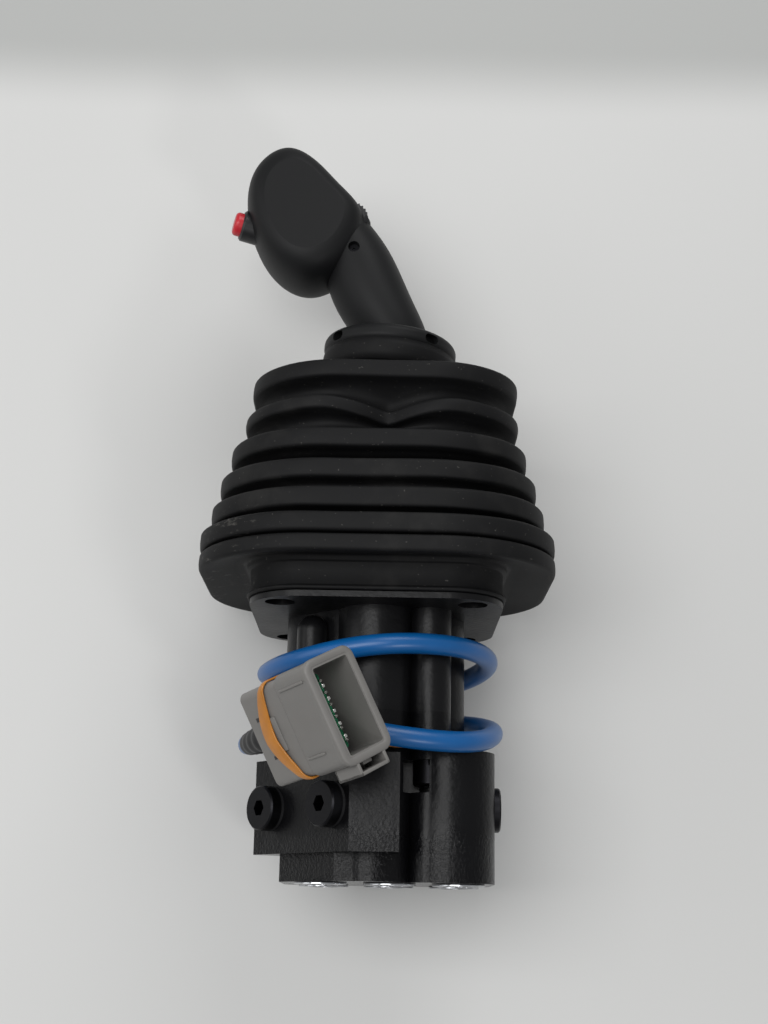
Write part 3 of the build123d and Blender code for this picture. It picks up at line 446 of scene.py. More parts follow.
FINISHES: dict[Slot, Finish] = {
    Slot.SATIN_PAINT: OrangePeelPaint((0.0050, 0.0050, 0.0056), 0.36, specular=0.20),
    Slot.CAST_PAINT: RoughCasting((0.0024, 0.0024, 0.0030), 0.38, coat=0.08, polish=0.18, specular=0.16),
    Slot.BLACK_STEEL: TurnedMetal((0.018, 0.018, 0.020), 0.42),
    Slot.ZINC_STEEL: TurnedMetal((0.55, 0.56, 0.58), 0.32),
    Slot.GROUND_STEEL: TurnedMetal((0.60, 0.60, 0.61), 0.2),
    Slot.SPRING_STEEL: TurnedMetal((0.30, 0.30, 0.32), 0.34),
    Slot.BUSH_BRASS: TurnedMetal((0.62, 0.43, 0.17), 0.3),
    Slot.SEAL_RUBBER: Finish((0.010, 0.010, 0.011), 0.5),
    Slot.BOOT_RUBBER: DustyRubber(
        (0.0052, 0.0052, 0.0056), 0.60, specular=0.17, grain=0.0004, relief=0.000022, mottle=0.2, patch=0.03
    ),
    Slot.GRIP_PLASTIC: Finish(
        (0.0066, 0.0068, 0.0073), 0.52, specular=0.20, grain=0.00045, relief=0.00003, patch=0.04
    ),
    Slot.CONTROL_PLASTIC: Finish((0.008, 0.008, 0.009), 0.38, grain=0.0004),
    Slot.BUTTON_RED: Finish((0.46, 0.010, 0.020), 0.36, mottle=0.08, grain=0.0005),
    Slot.CONNECTOR_GREY: WornPlastic(
        (0.160, 0.154, 0.146), 0.46, mark=(0.32, 0.31, 0.29), wear=0.25, patch=0.01
    ),
    Slot.WEDGE_GREEN: Finish((0.015, 0.19, 0.085), 0.42, mottle=0.08),
    Slot.CONTACT_METAL: TurnedMetal((0.72, 0.71, 0.68), 0.22),
    Slot.BAND_AMBER: WornPlastic(
        (0.42, 0.155, 0.010), 0.40, coat=0.2, mark=(0.16, 0.055, 0.008), wear=0.4, mottle=0.25, patch=0.006
    ),
    Slot.CABLE_BLUE: WornPlastic(
        (0.0012, 0.088, 0.285), 0.34, mark=(0.07, 0.14, 0.22), wear=0.22, patch=0.02
    ),
}


class Wardrobe:
    """The finishes as materials, one for each material slot."""

    def __init__(self) -> None:
        """Makes every material once."""
        self.materials = {slot: finish.make(slot.value) for slot, finish in FINISHES.items()}

    def dress(
        self, piece: bpy.types.Object, slot: Slot, body: Optional[Body] = Body.VALVE
    ) -> bpy.types.Object:
        """Gives a new piece one finish all over and its body.

        Args:
            piece: the piece.
            slot: the finish's slot.
            body: the body that it rides on, or none to leave it on no body.

        Returns:
            The piece.
        """
        piece.data.materials.clear()
        piece.data.materials.append(self.materials[slot])
        if body is not None:
            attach(piece, body.value)
        return piece

    def dress_frame(self) -> None:
        """Gives every carried-over node the finish of its slot."""
        for subpart in frame["record"]["subparts"]:
            node = frame["nodes"][subpart["node"]]
            if not node.material_slots:
                node.data.materials.append(None)
            for holder in node.material_slots:
                holder.material = self.materials[Slot(subpart["material_slot"])]
        LOG.info("dressed %d nodes", len(frame["nodes"]))


# ---------------------------------------------------------------- mesh helpers
def new_piece(name: str, points: Sequence[Vector], faces: Sequence[Sequence[int]]) -> bpy.types.Object:
    """Makes a smooth-shaded mesh object.

    Args:
        name: the piece's name.
        points: its corners, in metres.
        faces: its faces, as corner numbers.

    Returns:
        The linked object.
    """
    mesh = bpy.data.meshes.new(name)
    mesh.from_pydata([tuple(point) for point in points], [], [tuple(face) for face in faces])
    mesh.validate()
    mesh.polygons.foreach_set("use_smooth", [True] * len(mesh.polygons))
    piece = bpy.data.objects.new(name, mesh)
    bpy.context.scene.collection.objects.link(piece)
    return piece


def skin_loops(loops: Sequence[Loop], closed: bool = False, capped: bool = True) -> tuple[list[Vector], list]:
    """Skins a row of loops that have as many points each.

    Args:
        loops: the loops in order.
        closed: whether the last joins the first.
        capped: whether the two ends are filled.

    Returns:
        The points and the faces.
    """
    count = len(loops[0])
    points = [point for loop in loops for point in loop]
    faces = []
    rows = len(loops) if closed else len(loops) - 1
    for row in range(rows):
        low, high = row * count, ((row + 1) % len(loops)) * count
        for index in range(count):
            after = (index + 1) % count
            faces.append((low + index, low + after, high + after, high + index))
    if capped and not closed:
        faces.append(tuple(reversed(range(count))))
        last = (len(loops) - 1) * count
        faces.append(tuple(range(last, last + count)))
    return points, faces


def rounded_plan(half_x: float, half_y: float, corner: float, per_corner: int, per_side: int) -> list[tuple]:
    """A rounded rectangle's outline, anticlockwise, with as many points for any size.

    Args:
        half_x: half its width.
        half_y: half its depth.
        corner: its corner radius.
        per_corner: steps round each corner.
        per_side: steps along each side.

    Returns:
        The points, as pairs.
    """
    corner = min(corner, half_x, half_y)
    middles = [(1, 1), (-1, 1), (-1, -1), (1, -1)]
    outline = []
    for turn, (sign_x, sign_y) in enumerate(middles):
        centre = (sign_x * (half_x - corner), sign_y * (half_y - corner))
        for step in range(per_corner + 1):
            angle = math.pi / 2 * (turn + step / per_corner)
            outline.append((centre[0] + corner * math.cos(angle), centre[1] + corner * math.sin(angle)))
        next_x, next_y = middles[(turn + 1) % 4]
        angle = math.pi / 2 * (turn + 1)
        start = outline[-1]
        end = (
            next_x * (half_x - corner) + corner * math.cos(angle),
            next_y * (half_y - corner) + corner * math.sin(angle),
        )
        for step in range(1, per_side):
            share = step / per_side
            outline.append((start[0] + (end[0] - start[0]) * share, start[1] + (end[1] - start[1]) * share))
    return outline


def bevelled(piece: bpy.types.Object, width: float, steps: int = 3) -> bpy.types.Object:
    """Rounds a hard-edged piece's edges and applies it.

    Args:
        piece: the piece.
        width: the rounding's width, in metres.
        steps: how many faces it has.

    Returns:
        The piece.
    """
    bevel = piece.modifiers.new("edges", "BEVEL")
    bevel.width = width
    bevel.segments = steps
    bevel.limit_method = "ANGLE"
    bevel.harden_normals = False
    return applied(piece)


def applied(piece: bpy.types.Object) -> bpy.types.Object:
    """Applies every modifier of a mesh piece.

    Args:
        piece: the piece.

    Returns:
        The piece.
    """
    graph = bpy.context.evaluated_depsgraph_get()
    graph.update()
    mesh = bpy.data.meshes.new_from_object(piece.evaluated_get(graph))
    piece.modifiers.clear()
    piece.data = mesh
    return piece


def curve_line(curve: bpy.types.Object) -> list[Vector]:
    """The points that a curve without a bevel runs through.

    Args:
        curve: the curve.

    Returns:
        The points, in order.
    """
    graph = bpy.context.evaluated_depsgraph_get()
    graph.update()
    mesh = bpy.data.meshes.new_from_object(curve.evaluated_get(graph))
    line = [vertex.co.copy() for vertex in mesh.vertices]
    bpy.data.meshes.remove(mesh)
    return line


def ring_round(centre: Vector, along: Vector, radius: float, count: int = 32) -> Loop:
    """A circle round a direction.

    Args:
        centre: its middle.
        along: its axis.
        radius: its radius.
        count: its number of points.

    Returns:
        The loop.
    """
    turn = along.to_track_quat("Z", "Y")
    return [
        centre + turn @ Vector((radius * math.cos(angle), radius * math.sin(angle), 0))
        for angle in (FULL_TURN * index / count for index in range(count))
    ]


# ---------------------------------------------------------------- cable
@dataclass
class Cable:
    """The blue cable: out of the gland, twice round the column and into the connector."""

    wardrobe: Wardrobe
    diameter: float = 0.0084
    length: float = 0.725
    route: tuple[tuple[float, float, float], ...] = (
        (-0.00466, 0.04237, -0.01175),
        (-0.03506, 0.03606, -0.0150),
        (-0.0495, 0.0, -0.0250),
        (-0.03471, -0.03571, -0.0234),
        (0.001, -0.0505, -0.0176),
        (0.03671, -0.03571, -0.0160),
        (0.0515, 0.0, -0.0174),
        (0.03671, 0.03571, -0.0214),
        (0.001, 0.0505, -0.0264),
        (-0.03471, 0.03571, -0.0316),
        (-0.0495, 0.0, -0.0368),
        (-0.03471, -0.03571, -0.0424),
        (0.001, -0.0530, -0.0546),
        (0.04131, -0.04031, -0.0564),
        (0.0530, 0.0, -0.0459),
        (0.03671, 0.03571, -0.0384),
        (0.001, 0.0505, -0.0396),
        (-0.03471, 0.03571, -0.0456),
        (-0.0500, 0.0, -0.0520),
        (-0.05214, -0.03059, -0.05753),
        (-0.03957, -0.04846, -0.05489),
    )
    sleeve_length: float = 0.021
    sleeve_radii: tuple[float, float] = (0.0063, 0.0047)
    sleeve_grooves: int = 4
    groove_depth: float = 0.0006
    piece: Optional[bpy.types.Object] = None
    on_line: list[bpy.types.Object] = field(default_factory=list)

    def build(self) -> bpy.types.Object:
        """Makes the cable and its two tapered sleeves.

        Returns:
            The cable.
        """
        data = bpy.data.curves.new("cable_line", "CURVE")
        data.dimensions = "3D"
        data.resolution_u = 16
        spline = data.splines.new("NURBS")
        spline.points.add(len(self.route) - 1)
        for point, place in zip(spline.points, self.route):
            point.co = (*place, 1.0)
        spline.order_u = 3
        spline.use_endpoint_u = True
        cable = bpy.data.objects.new("blue_cable", data)
        bpy.context.scene.collection.objects.link(cable)
        line = curve_line(cable)
        data.bevel_depth = self.diameter / 2
        data.bevel_resolution = 8
        data.use_fill_caps = True
        self.wardrobe.dress(cable, Slot.CABLE_BLUE)
        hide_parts("cable")
        exit_sleeve = self.sleeve("cable_sleeve", line)
        tail_sleeve = self.sleeve("connector_sleeve", line[::-1])
        self.on_line = [frame["nodes"][name] for name in ("wedge_lock", "contact_pins")]
        self.on_line += [tail_sleeve, exit_sleeve]
        self.piece = cable
        LOG.info("cable and sleeves, %d points on its line", len(line))
        return cable

    def sleeve(self, name: str, line: Sequence[Vector]) -> bpy.types.Object:
        """A tapered, grooved sleeve over the first stretch of the cable's line.

        Args:
            name: the piece's name.
            line: the line, from the sleeve's thick end.

        Returns:
            The sleeve.
        """
        loops, done = [], 0.0
        inner = self.diameter / 2 * 0.98
        wide, narrow = self.sleeve_radii
        walked = [(0.0, line[0], line[1] - line[0])]
        for before, after in zip(line, line[1:]):
            done += (after - before).length
            walked.append((done, after, after - before))
        steps = self.sleeve_grooves * 8
        for step in range(steps + 1):
            share = step / steps
            reach = share * self.sleeve_length
            index = next(i for i, entry in enumerate(walked) if entry[0] >= reach)
            distance, point, along = walked[index]
            point = point - along.normalized() * (distance - reach)
            groove = self.groove_depth * 0.5 * (1 - math.cos(FULL_TURN * share * self.sleeve_grooves))
            radius = wide + (narrow - wide) * share - groove * (1 - share * 0.5)
            loops.append(ring_round(point, along, radius))
        last, way = loops[-1], walked[index][2]
        tip = sum(last, Vector()) / len(last)
        loops.append(ring_round(tip + way.normalized() * 0.0004, way, inner))
        piece = new_piece(name, *skin_loops(loops))
        return self.wardrobe.dress(piece, Slot.SEAL_RUBBER)


# ---------------------------------------------------------------- bellows
@dataclass
class Bellows:
    """The rubber bellows: skirt, seven folds and neck, in two halves split in the valley above the fourth
    fold.
    """

    wardrobe: Wardrobe
    folds: tuple[tuple[float, float, float], ...] = (
        (0.0744, 0.0146, 0.0216),
        (0.0742, 0.0226, 0.0306),
        (0.0700, 0.0336, 0.0420),
        (0.0669, 0.0466, 0.0546),
        (0.0630, 0.0606, 0.0686),
        (0.0587, 0.0776, 0.0836),
        (0.0572, 0.0926, 0.1003),
    )
    lower_folds: int = 4
    depth_loss: float = 0.0040
    corner_share: float = 0.66
    nose: float = 0.0015
    crown: float = 0.00015
    valley: float = 0.0090
    wall: float = 0.0018
    skirt_half: float = 0.0523
    skirt_corner: float = 0.0230
    skirt_bottom: float = 0.0027
    skirt_profile: tuple[tuple[float, float], ...] = (
        (-0.0004, 0.0),
        (0.0007, 0.0003),
        (0.0009, 0.0010),
        (0.0007, 0.0017),
        (-0.0002, 0.0021),
        (-0.0003, 0.0023),
        (-0.0003, 0.0080),
        (-0.0002, 0.0112),
        (-0.0001, 0.0115),
        (0.0009, 0.0117),
        (0.0012, 0.0120),
        (0.0013, 0.0131),
        (0.0016, 0.0137),
        (0.0030, 0.0140),
    )
    collar_profile: tuple[tuple[float, float], ...] = (
        (0.0262, 0.1094),
        (0.0282, 0.1100),
        (0.0294, 0.1130),
        (0.0297, 0.1165),
        (0.0292, 0.1196),
        (0.0268, 0.1198),
        (0.0252, 0.1160),
    )
    neck_radius: float = 0.0200
    neck_bottom: float = 0.1120
    neck_top: float = 0.1185
    bend_height: float = 0.0660
    rake: float = 4.0
    arc_steps: int = 4
    per_corner: int = 16
    per_side: int = 14
    dent_place: tuple[float, float] = (0.0035, 0.0800)
    dent_push: float = 0.0105
    dent_drop: float = 0.0036
    dent_size: tuple[float, float] = (0.0125, 0.0075)
    hump_place: float = 0.028
    hump_width: float = 0.012
    hump_rise: float = 0.0009
    rough_scale: float = 28.0
    unevenness: float = 0.0003

    def lean(self, height: float) -> float:
        """How far the bellows' middle follows the lever at a height."""
        return max(0.0, height - self.bend_height) * math.tan(math.radians(self.rake))

    def ring(self, half: float, height: float, corner: Optional[float] = None, square: bool = False) -> Loop:
        """One loop of the bellows.

        Args:
            half: half its width.
            height: its height.
            corner: its corner radius, or none for a fold's own share.
            square: whether it is as deep as wide.

        Returns:
            The loop.
        """
        deep = half if square else half - self.depth_loss
        radius = self.corner_share * half if corner is None else corner
        plan = rounded_plan(half, deep, radius, self.per_corner, self.per_side)
        shift = self.lean(height)
        return [Vector((x + shift, y, height)) for x, y in plan]

    def fold_rings(self, half: float, bottom: float, top: float) -> list[Loop]:
        """The loops of one fold's rounded nose, from its underside to its top.

        Args:
            half: half the fold's width.
            bottom: its underside.
            top: its upper side.

        Returns:
            The loops, from the bottom.
        """
        nose = min(self.nose, 0.46 * (top - bottom))
        loops = []
        for centre, first in ((bottom + nose, -90), (top - nose, 0)):
            for step in range(self.arc_steps + 1):
                angle = math.radians(first + 90 * step / self.arc_steps)
                loops.append(self.ring(half - nose + nose * math.cos(angle), centre + nose * math.sin(angle)))
            if first < 0:
                loops.append(self.ring(half + self.crown, (bottom + top) / 2))
        return loops

    def web_rings(self, lower: Sequence[float], upper: Sequence[float]) -> list[Loop]:
        """The loops of the valley between two folds.

        Args:
            lower: the fold below.
            upper: the fold above.

        Returns:
            The loops, from the bottom.
        """
        inner = min(lower[0], upper[0]) - self.valley
        gap = upper[1] - lower[2]
        shape = ((0.0050, 0.06), (0.0016, 0.16), (0.0, 0.5), (0.0016, 0.84), (0.0050, 0.94))
        return [self.ring(inner + out, lower[2] + gap * share) for out, share in shape]

    def skirt_rings(self) -> list[Loop]:
        """The loops of the skirt, with a bead at its lip and a step under the first fold.

        Returns:
            The loops, from the lip up.
        """
        rings = [
            self.ring(self.skirt_half + out, self.skirt_bottom + up, self.skirt_corner, True)
            for out, up in self.skirt_profile
        ]
        first_half, first_bottom, _ = self.folds[0]
        start, end = rings[-1], self.ring(first_half - self.nose, first_bottom)
        for share in (0.2, 0.45, 0.7, 0.9):
            rings.append([a.lerp(b, share) for a, b in zip(start, end)])
        return rings

    def neck_rings(self) -> list[Loop]:
        """The loops of the sloping top and the neck, square to the lever.

        Returns:
            The loops, from the last fold up.
        """
        half, _, top = self.folds[-1]
        half -= self.nose
        loops = []
        tilt = Matrix.Rotation(math.radians(self.rake), 3, "Y")
        for step in range(1, 11):
            share = step / 10
            width = half + (self.neck_radius - half) * share ** 0.9
            height = top + (self.neck_bottom - top) * share ** 1.5
            corner = self.corner_share * half * (1 - share) + self.neck_radius * share
            deep = width - self.depth_loss * (1 - share)
            plan = rounded_plan(width, deep, corner, self.per_corner, self.per_side)
            turn = Matrix.Identity(3).lerp(tilt, share)
            middle = Vector((self.lean(height), 0, height))
            loops.append([middle + turn @ Vector((x, y, 0)) for x, y in plan])
        rise = tilt @ Vector((0, 0, self.neck_top - self.neck_bottom))
        loops.append([point + rise * 0.5 for point in loops[9]])
        loops.append([point + rise for point in loops[9]])
        return loops

    def collar_skirt(self) -> bpy.types.Object:
        """The domed skirt under the clamping collar, which rests on the bellows' sloping top.

        Returns:
            The piece.
        """
        tilt = Matrix.Rotation(math.radians(self.rake), 3, "Y")
        along = tilt @ Vector((0, 0, 1))
        loops = [
            ring_round(Vector((self.lean(height), 0, height)), along, radius, 96)
            for radius, height in self.collar_profile
        ]
        piece = new_piece("collar_skirt", *skin_loops(loops, closed=True))
        return self.wardrobe.dress(piece, Slot.BOOT_RUBBER, Body.LEVER)

    def settled(self, point: Vector) -> Vector:
        """A point with the rubber's unevenness and the pushed-in place of one fold.

        Args:
            point: a point of the smooth bellows.

        Returns:
            The moved point.
        """
        drift = noise.noise_vector(point * self.rough_scale) * self.unevenness
        free = min(1.0, max(0.0, point.z - 0.02) / 0.01)
        moved = point + Vector((drift.x, drift.y, drift.z * 1.6)) * free
        if point.y < 0 and abs(point.x) < 0.05:
            aside = point.x - self.dent_place[0]
            up = (point.z - self.dent_place[1]) / self.dent_size[1]
            front = min(1.0, -point.y / 0.03)
            share = math.exp(-abs(aside / self.dent_size[0]) ** 1.35) * math.exp(-(up**4)) * front
            moved.y += self.dent_push * share
            moved.z -= self.dent_drop * share
            hump = math.exp(-(((abs(aside) - self.hump_place) / self.hump_width) ** 2))
            moved.z += self.hump_rise * hump * math.exp(-(up**4)) * front
        return moved

    def half(self, name: str, loops: Sequence[Loop]) -> bpy.types.Object:
        """Makes one half of the bellows with its wall's thickness.

        Args:
            name: the piece's name.
            loops: its loops from the bottom.

        Returns:
            The piece.
        """
        settled = [[self.settled(point) for point in loop] for loop in loops]
        piece = new_piece(name, *skin_loops(settled, capped=False))
        wall = piece.modifiers.new("wall", "SOLIDIFY")
        wall.thickness = self.wall
        wall.offset = -1.0
        applied(piece)
        return self.wardrobe.dress(piece, Slot.BOOT_RUBBER, None)

    def build(self) -> None:
        """Makes both halves and the collar skirt, hides the imported boot and bakes both halves' transforms.
        """
        loops = self.skirt_rings()
        cut = 0
        for index, fold in enumerate(self.folds):
            loops += self.fold_rings(*fold)
            if index + 1 < len(self.folds):
                web = self.web_rings(fold, self.folds[index + 1])
                if index + 1 == self.lower_folds:
                    cut = len(loops) + 2
                loops += web
        loops += self.neck_rings()
        lower = self.half("bellows_lower", loops[: cut + 1])
        upper = self.half("bellows_upper", loops[cut:])
        self.collar_skirt()
        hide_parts("bellows_boot")
        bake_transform(lower)
        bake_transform(upper)


# ---------------------------------------------------------------- connector
# A block's faces, over corners that step along X first, then Y, then Z.
BLOCK_FACES = ((0, 2, 3, 1), (4, 5, 7, 6), (0, 1, 5, 4), (2, 6, 7, 3), (0, 4, 6, 2), (1, 3, 7, 5))


@dataclass
class Connector:
    """What the twelve-way connector carries on its plain shell: hood, ledge, windows of painted shade, ridge,
    seal.
    """

    wardrobe: Wardrobe
    place: tuple[float, float, float] = (-0.023, -0.072, -0.0514)
    mating: tuple[float, float, float] = (0.57, -0.81, 0.12)
    long: tuple[float, float, float] = (0.43, 0.17, -0.89)
    half_long: float = 0.01925
    half_short: float = 0.0105
    half_length: float = 0.0240
    corner: float = 0.0030
    ridge_depth: float = 0.0062
    contact_pitch: float = 0.0050

    def frame_matrix(self) -> Matrix:
        """The connector's own frame: X along its long side, Z out of its mating face.

        Returns:
            The matrix.
        """
        out = Vector(self.mating).normalized()
        side = Vector(self.long)
        side = (side - out * side.dot(out)).normalized()
        across = out.cross(side)
        turn = Matrix((side, across, out)).transposed()
        return Matrix.Translation(Vector(self.place)) @ turn.to_4x4()

    def section(self, grow: float, height: float, corner: float = 0.0) -> Loop:
        """One loop round the connector, grown outwards, at a height along it.

        Args:
            grow: how far it is grown.
            height: its height along the connector.
            corner: what its corner radius gains.

        Returns:
            The loop.
        """
        plan = rounded_plan(
            self.half_long + grow, self.half_short + grow, max(0.0006, self.corner + grow + corner), 6, 4
        )
        return [Vector((x, y, height)) for x, y in plan]

    def finished(
        self, name: str, loops: Sequence[Loop], slot: Slot, closed: bool = True
    ) -> bpy.types.Object:
        """Skins loops in the connector's frame as one piece.

        Args:
            name: the piece's name.
            loops: the loops, in the connector's frame.
            slot: the finish's slot.
            closed: whether the last loop joins the first.

        Returns:
            The piece.
        """
        matrix = self.frame_matrix()
        moved = [[matrix @ point for point in loop] for loop in loops]
        piece = new_piece(name, *skin_loops(moved, closed=closed))
        return self.wardrobe.dress(piece, slot)

    def boxes(
        self, name: str, spans: Sequence[Span], slot: Slot, edge: float = 0.0004
    ) -> bpy.types.Object:
        """Small moulded blocks with rounded edges, as one piece.

        Args:
            name: the piece's name.
            spans: each block's low and high corners, in the connector's frame.
            slot: the finish's slot.
            edge: how far each edge is rounded.

        Returns:
            The piece.
        """
        matrix = self.frame_matrix()
        corners: Loop = []
        faces: list[tuple[int, ...]] = []
        for low, high in spans:
            first = len(corners)
            corners += [matrix @ Vector((x, y, z)) for z, y, x in product(*zip(low[::-1], high[::-1]))]
            faces += [tuple(first + corner for corner in face) for face in BLOCK_FACES]
        piece = bevelled(new_piece(name, corners, faces), edge)
        return self.wardrobe.dress(piece, slot)

    def hood(self) -> bpy.types.Object:
        """The thicker mating half, stepped out from the body, with a rounded lip.

        Returns:
            The piece.
        """
        front = self.half_length
        profile = (
            (0.0, 0.0016),
            (0.0007, 0.0020),
            (0.0011, 0.0028),
            (0.0011, front - 0.0026),
            (0.0014, front - 0.0020),
            (0.0015, front - 0.0004),
            (0.0011, front + 0.0001),
            (0.0, front + 0.0003),
            (-0.0010, front + 0.0003),
            (-0.0017, front - 0.0001),
            (-0.0021, front - 0.0010),
            (-0.0015, front - 0.0018),
        )
        loops = [self.section(grow, height) for grow, height in profile]
        return self.finished("connector_hood", loops, Slot.CONNECTOR_GREY)

    def ledge(self) -> list[bpy.types.Object]:
        """The open-fronted latch ledge under the hood's lower end.

        Returns:
            The pieces.
        """
        near, far = self.half_long + 0.0008, self.half_long + 0.0062
        front, back = self.half_length - 0.0002, self.half_length - 0.0150
        half, wall, tongue = 0.0072, 0.0014, 0.0022
        spans: dict[str, Span] = {
            "floor": ((far - wall, -half, back), (far, half, front)),
            "cheek_near": ((near, -half, back), (far, -half + wall, front)),
            "cheek_far": ((near, half - wall, back), (far, half, front)),
            "back": ((near, -half, back), (far, half, back + wall)),
            "tongue": ((near, -tongue, back + 0.002), (near + tongue, tongue, front - 0.003)),
        }
        return [
            self.boxes(f"latch_ledge_{name}", [span], Slot.CONNECTOR_GREY) for name, span in spans.items()
        ]

    def windows(self) -> list[bpy.types.Object]:
        """The raised panel on the broad side that faces out, and beside it two thin dark sheets that paint
        the shade of the catch windows.

        Returns:
            The pieces.
        """
        face = -self.half_short
        panel, slit, rib, root = face - 0.0007, face - 0.00015, face - 0.0017, face - 0.0004
        grey, shade_sheet = Slot.CONNECTOR_GREY, Slot.SEAL_RUBBER
        rounding = {grey: 0.0003, shade_sheet: 0.00006}
        rows: list[tuple[str, Slot, Span]] = [
            ("catch_panel", grey, ((-0.0068, panel, -0.0168), (0.0068, face + 0.0004, -0.0068))),
            # painted shade: thin dark sheets just proud of the face stand for the catch windows' openings
            ("catch_window_upper_shade", shade_sheet, ((-0.0086, slit, -0.0190), (-0.0070, face, -0.0110))),
            ("catch_window_lower_shade", shade_sheet, ((0.0072, slit, -0.0180), (0.0086, face, -0.0130))),
            ("side_rib_upper", grey, ((-0.0150, rib, 0.0040), (-0.0140, root, 0.0200))),
            ("side_rib_lower", grey, ((0.0120, rib, 0.0040), (0.0130, root, 0.0150))),
        ]
        return [self.boxes(name, [span], slot, rounding[slot]) for name, slot, span in rows]

    def wedge_ridge(self) -> list[bpy.types.Object]:
        """The green wedge's upper edge inside the hood, dark blocks that paint the shade in its recesses, and
        the contacts' tips.

        Returns:
            The pieces.
        """
        top = self.half_length - self.ridge_depth
        places = [index * self.contact_pitch for index in range(-2, 3)]
        ridge = [((-0.0142, -0.0080, top - 0.008), (0.0142, -0.0038, top))]
        # painted shade: dark blocks on the ridge stand for the shade inside its recesses
        recesses = [
            ((x - 0.0012, -0.0066, top - 0.001), (x + 0.0012, -0.0050, top + 0.0001)) for x in places
        ]
        tips = [((x - 0.0007, -0.0036, top - 0.006), (x + 0.0007, -0.0022, top + 0.0012)) for x in places]
        return [
            self.boxes("wedge_ridge", ridge, Slot.WEDGE_GREEN),
            self.boxes("wedge_recess_shade", recesses, Slot.SEAL_RUBBER, 0.00006),
            self.boxes("contact_tips", tips, Slot.CONTACT_METAL, 0.0003),
        ]

    def rear_seal(self) -> bpy.types.Object:
        """The ribbed silicone seal that fills the connector's back.

        Returns:
            The piece.
        """
        rear = -self.half_length
        profile = [(-0.0024, rear + 0.0046)]
        for rib in range(3):
            height = rear + 0.0040 - rib * 0.0014
            profile += [(-0.0023, height), (-0.0027, height - 0.0007)]
        profile += [(-0.0024, rear - 0.0002), (-0.0034, rear - 0.0008)]
        loops = [self.section(grow, height) for grow, height in profile]
        for radius, height in ((0.0072, -0.0010), (0.0063, -0.0018), (0.0060, -0.0046), (0.0052, -0.0050)):
            plan = rounded_plan(radius, radius, radius, 6, 4)
            loops.append([Vector((x, y, rear + height)) for x, y in plan])
        piece = self.finished("rear_seal_ribbed", loops, Slot.SEAL_RUBBER, closed=False)
        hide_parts("rear_seal")
        return piece

    def build(self) -> list[bpy.types.Object]:
        """Makes every piece of the connector.

        Returns:
            The pieces.
        """
        pieces = [self.hood(), *self.ledge(), *self.windows()]
        pieces += [*self.wedge_ridge(), self.rear_seal()]
        LOG.info("connector of %d pieces", len(pieces))
        return pieces


# ---------------------------------------------------------------- rubber band
@dataclass
class RubberBand:
    """The amber band: a twisted loop round the connector and a stretched one round the column."""

    wardrobe: Wardrobe
    thickness: float = 0.0009
    narrow: float = 0.0022
    wide: float = 0.0070
    column_height: float = -0.0533
    column_width: float = 0.0042
    column_dip: float = 0.0024
    column_turn: float = 1.75
    column_reach: float = 0.0384
    column_flat: float = 0.0030
    column_steps: int = 96
    front_height: float = -0.0130
    back_height: float = -0.0052

    def strip(self, path: Sequence[tuple[Vector, Vector, Vector, float]]) -> list[Loop]:
        """Loops of a flat band, rounded at its edges.

        Args:
            path: at each step its middle, the way across its width, its outward way and its width.

        Returns:
            The loops.
        """
        loops = []
        for middle, across, outward, width in path:
            half, thick = width / 2, self.thickness / 2
            plan = rounded_plan(half, thick, thick * 0.98, 3, 2)
            loops.append([middle + across * x + outward * (y + thick) for x, y in plan])
        return loops

    def round_connector(self, connector: Connector) -> bpy.types.Object:
        """The loop round the connector, bowed back on the broad side that faces out.

        Args:
            connector: the connector that it goes round.

        Returns:
            The loop.
        """
        matrix = connector.frame_matrix()
        turn = matrix.to_3x3()
        half_long, half_short = connector.half_long + 0.0002, connector.half_short + 0.0002
        plan = rounded_plan(half_long, half_short, connector.corner, 6, 16)
        path = []
        for index, (x, y) in enumerate(plan):
            run = (Vector(plan[(index + 1) % len(plan)]) - Vector(plan[index - 1])).normalized()
            outward = Vector((run.y, -run.x, 0))
            share = x / connector.half_long
            height, width, skew, lift = self.back_height, self.narrow, 0.0, 0.0
            if y < 0:
                height = self.front_height + 0.0080 * share * share + 0.0015 * share
                width += (self.wide - self.narrow) * max(0.0, 1 - share * share)
                skew = -0.55 * share
                lift = 0.0010 * max(0.0, 1 - abs(share - 0.1) * 1.6)
            across = (Vector((0, 0, 1)) + Vector((run.x, run.y, 0)) * skew).normalized()
            middle = Vector((x, y, height)) + outward * lift
            path.append((matrix @ middle, turn @ across, turn @ outward, width))
        loops = self.strip(path)
        piece = new_piece("band_round_connector", *skin_loops(loops, closed=True))
        return self.wardrobe.dress(piece, Slot.BAND_AMBER)

    def round_column(self) -> bpy.types.Object:
        """The loop stretched round the housing's column, resting towards the shoulder in front.

        Returns:
            The loop.
        """
        path = []
        for index in range(self.column_steps):
            angle = FULL_TURN * index / self.column_steps
            out = Vector((math.cos(angle), math.sin(angle), 0))
            spread = self.column_reach - self.column_flat * math.sin(2 * angle) ** 2
            height = self.column_height - self.column_dip * math.cos(angle + self.column_turn)
            middle = out * spread + Vector((0, 0, height))
            path.append((middle, Vector((0, 0, 1)), out, self.column_width))
        piece = new_piece("band_round_column", *skin_loops(self.strip(path), closed=True))
        return self.wardrobe.dress(piece, Slot.BAND_AMBER)

    def build(self, connector: Connector) -> list[bpy.types.Object]:
        """Makes both loops.

        Args:
            connector: the connector that one loop goes round.

        Returns:
            The loops.
        """
        loops = [self.round_connector(connector), self.round_column()]
        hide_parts("rubber_band")
        LOG.info("band of %d loops", len(loops))
        return loops


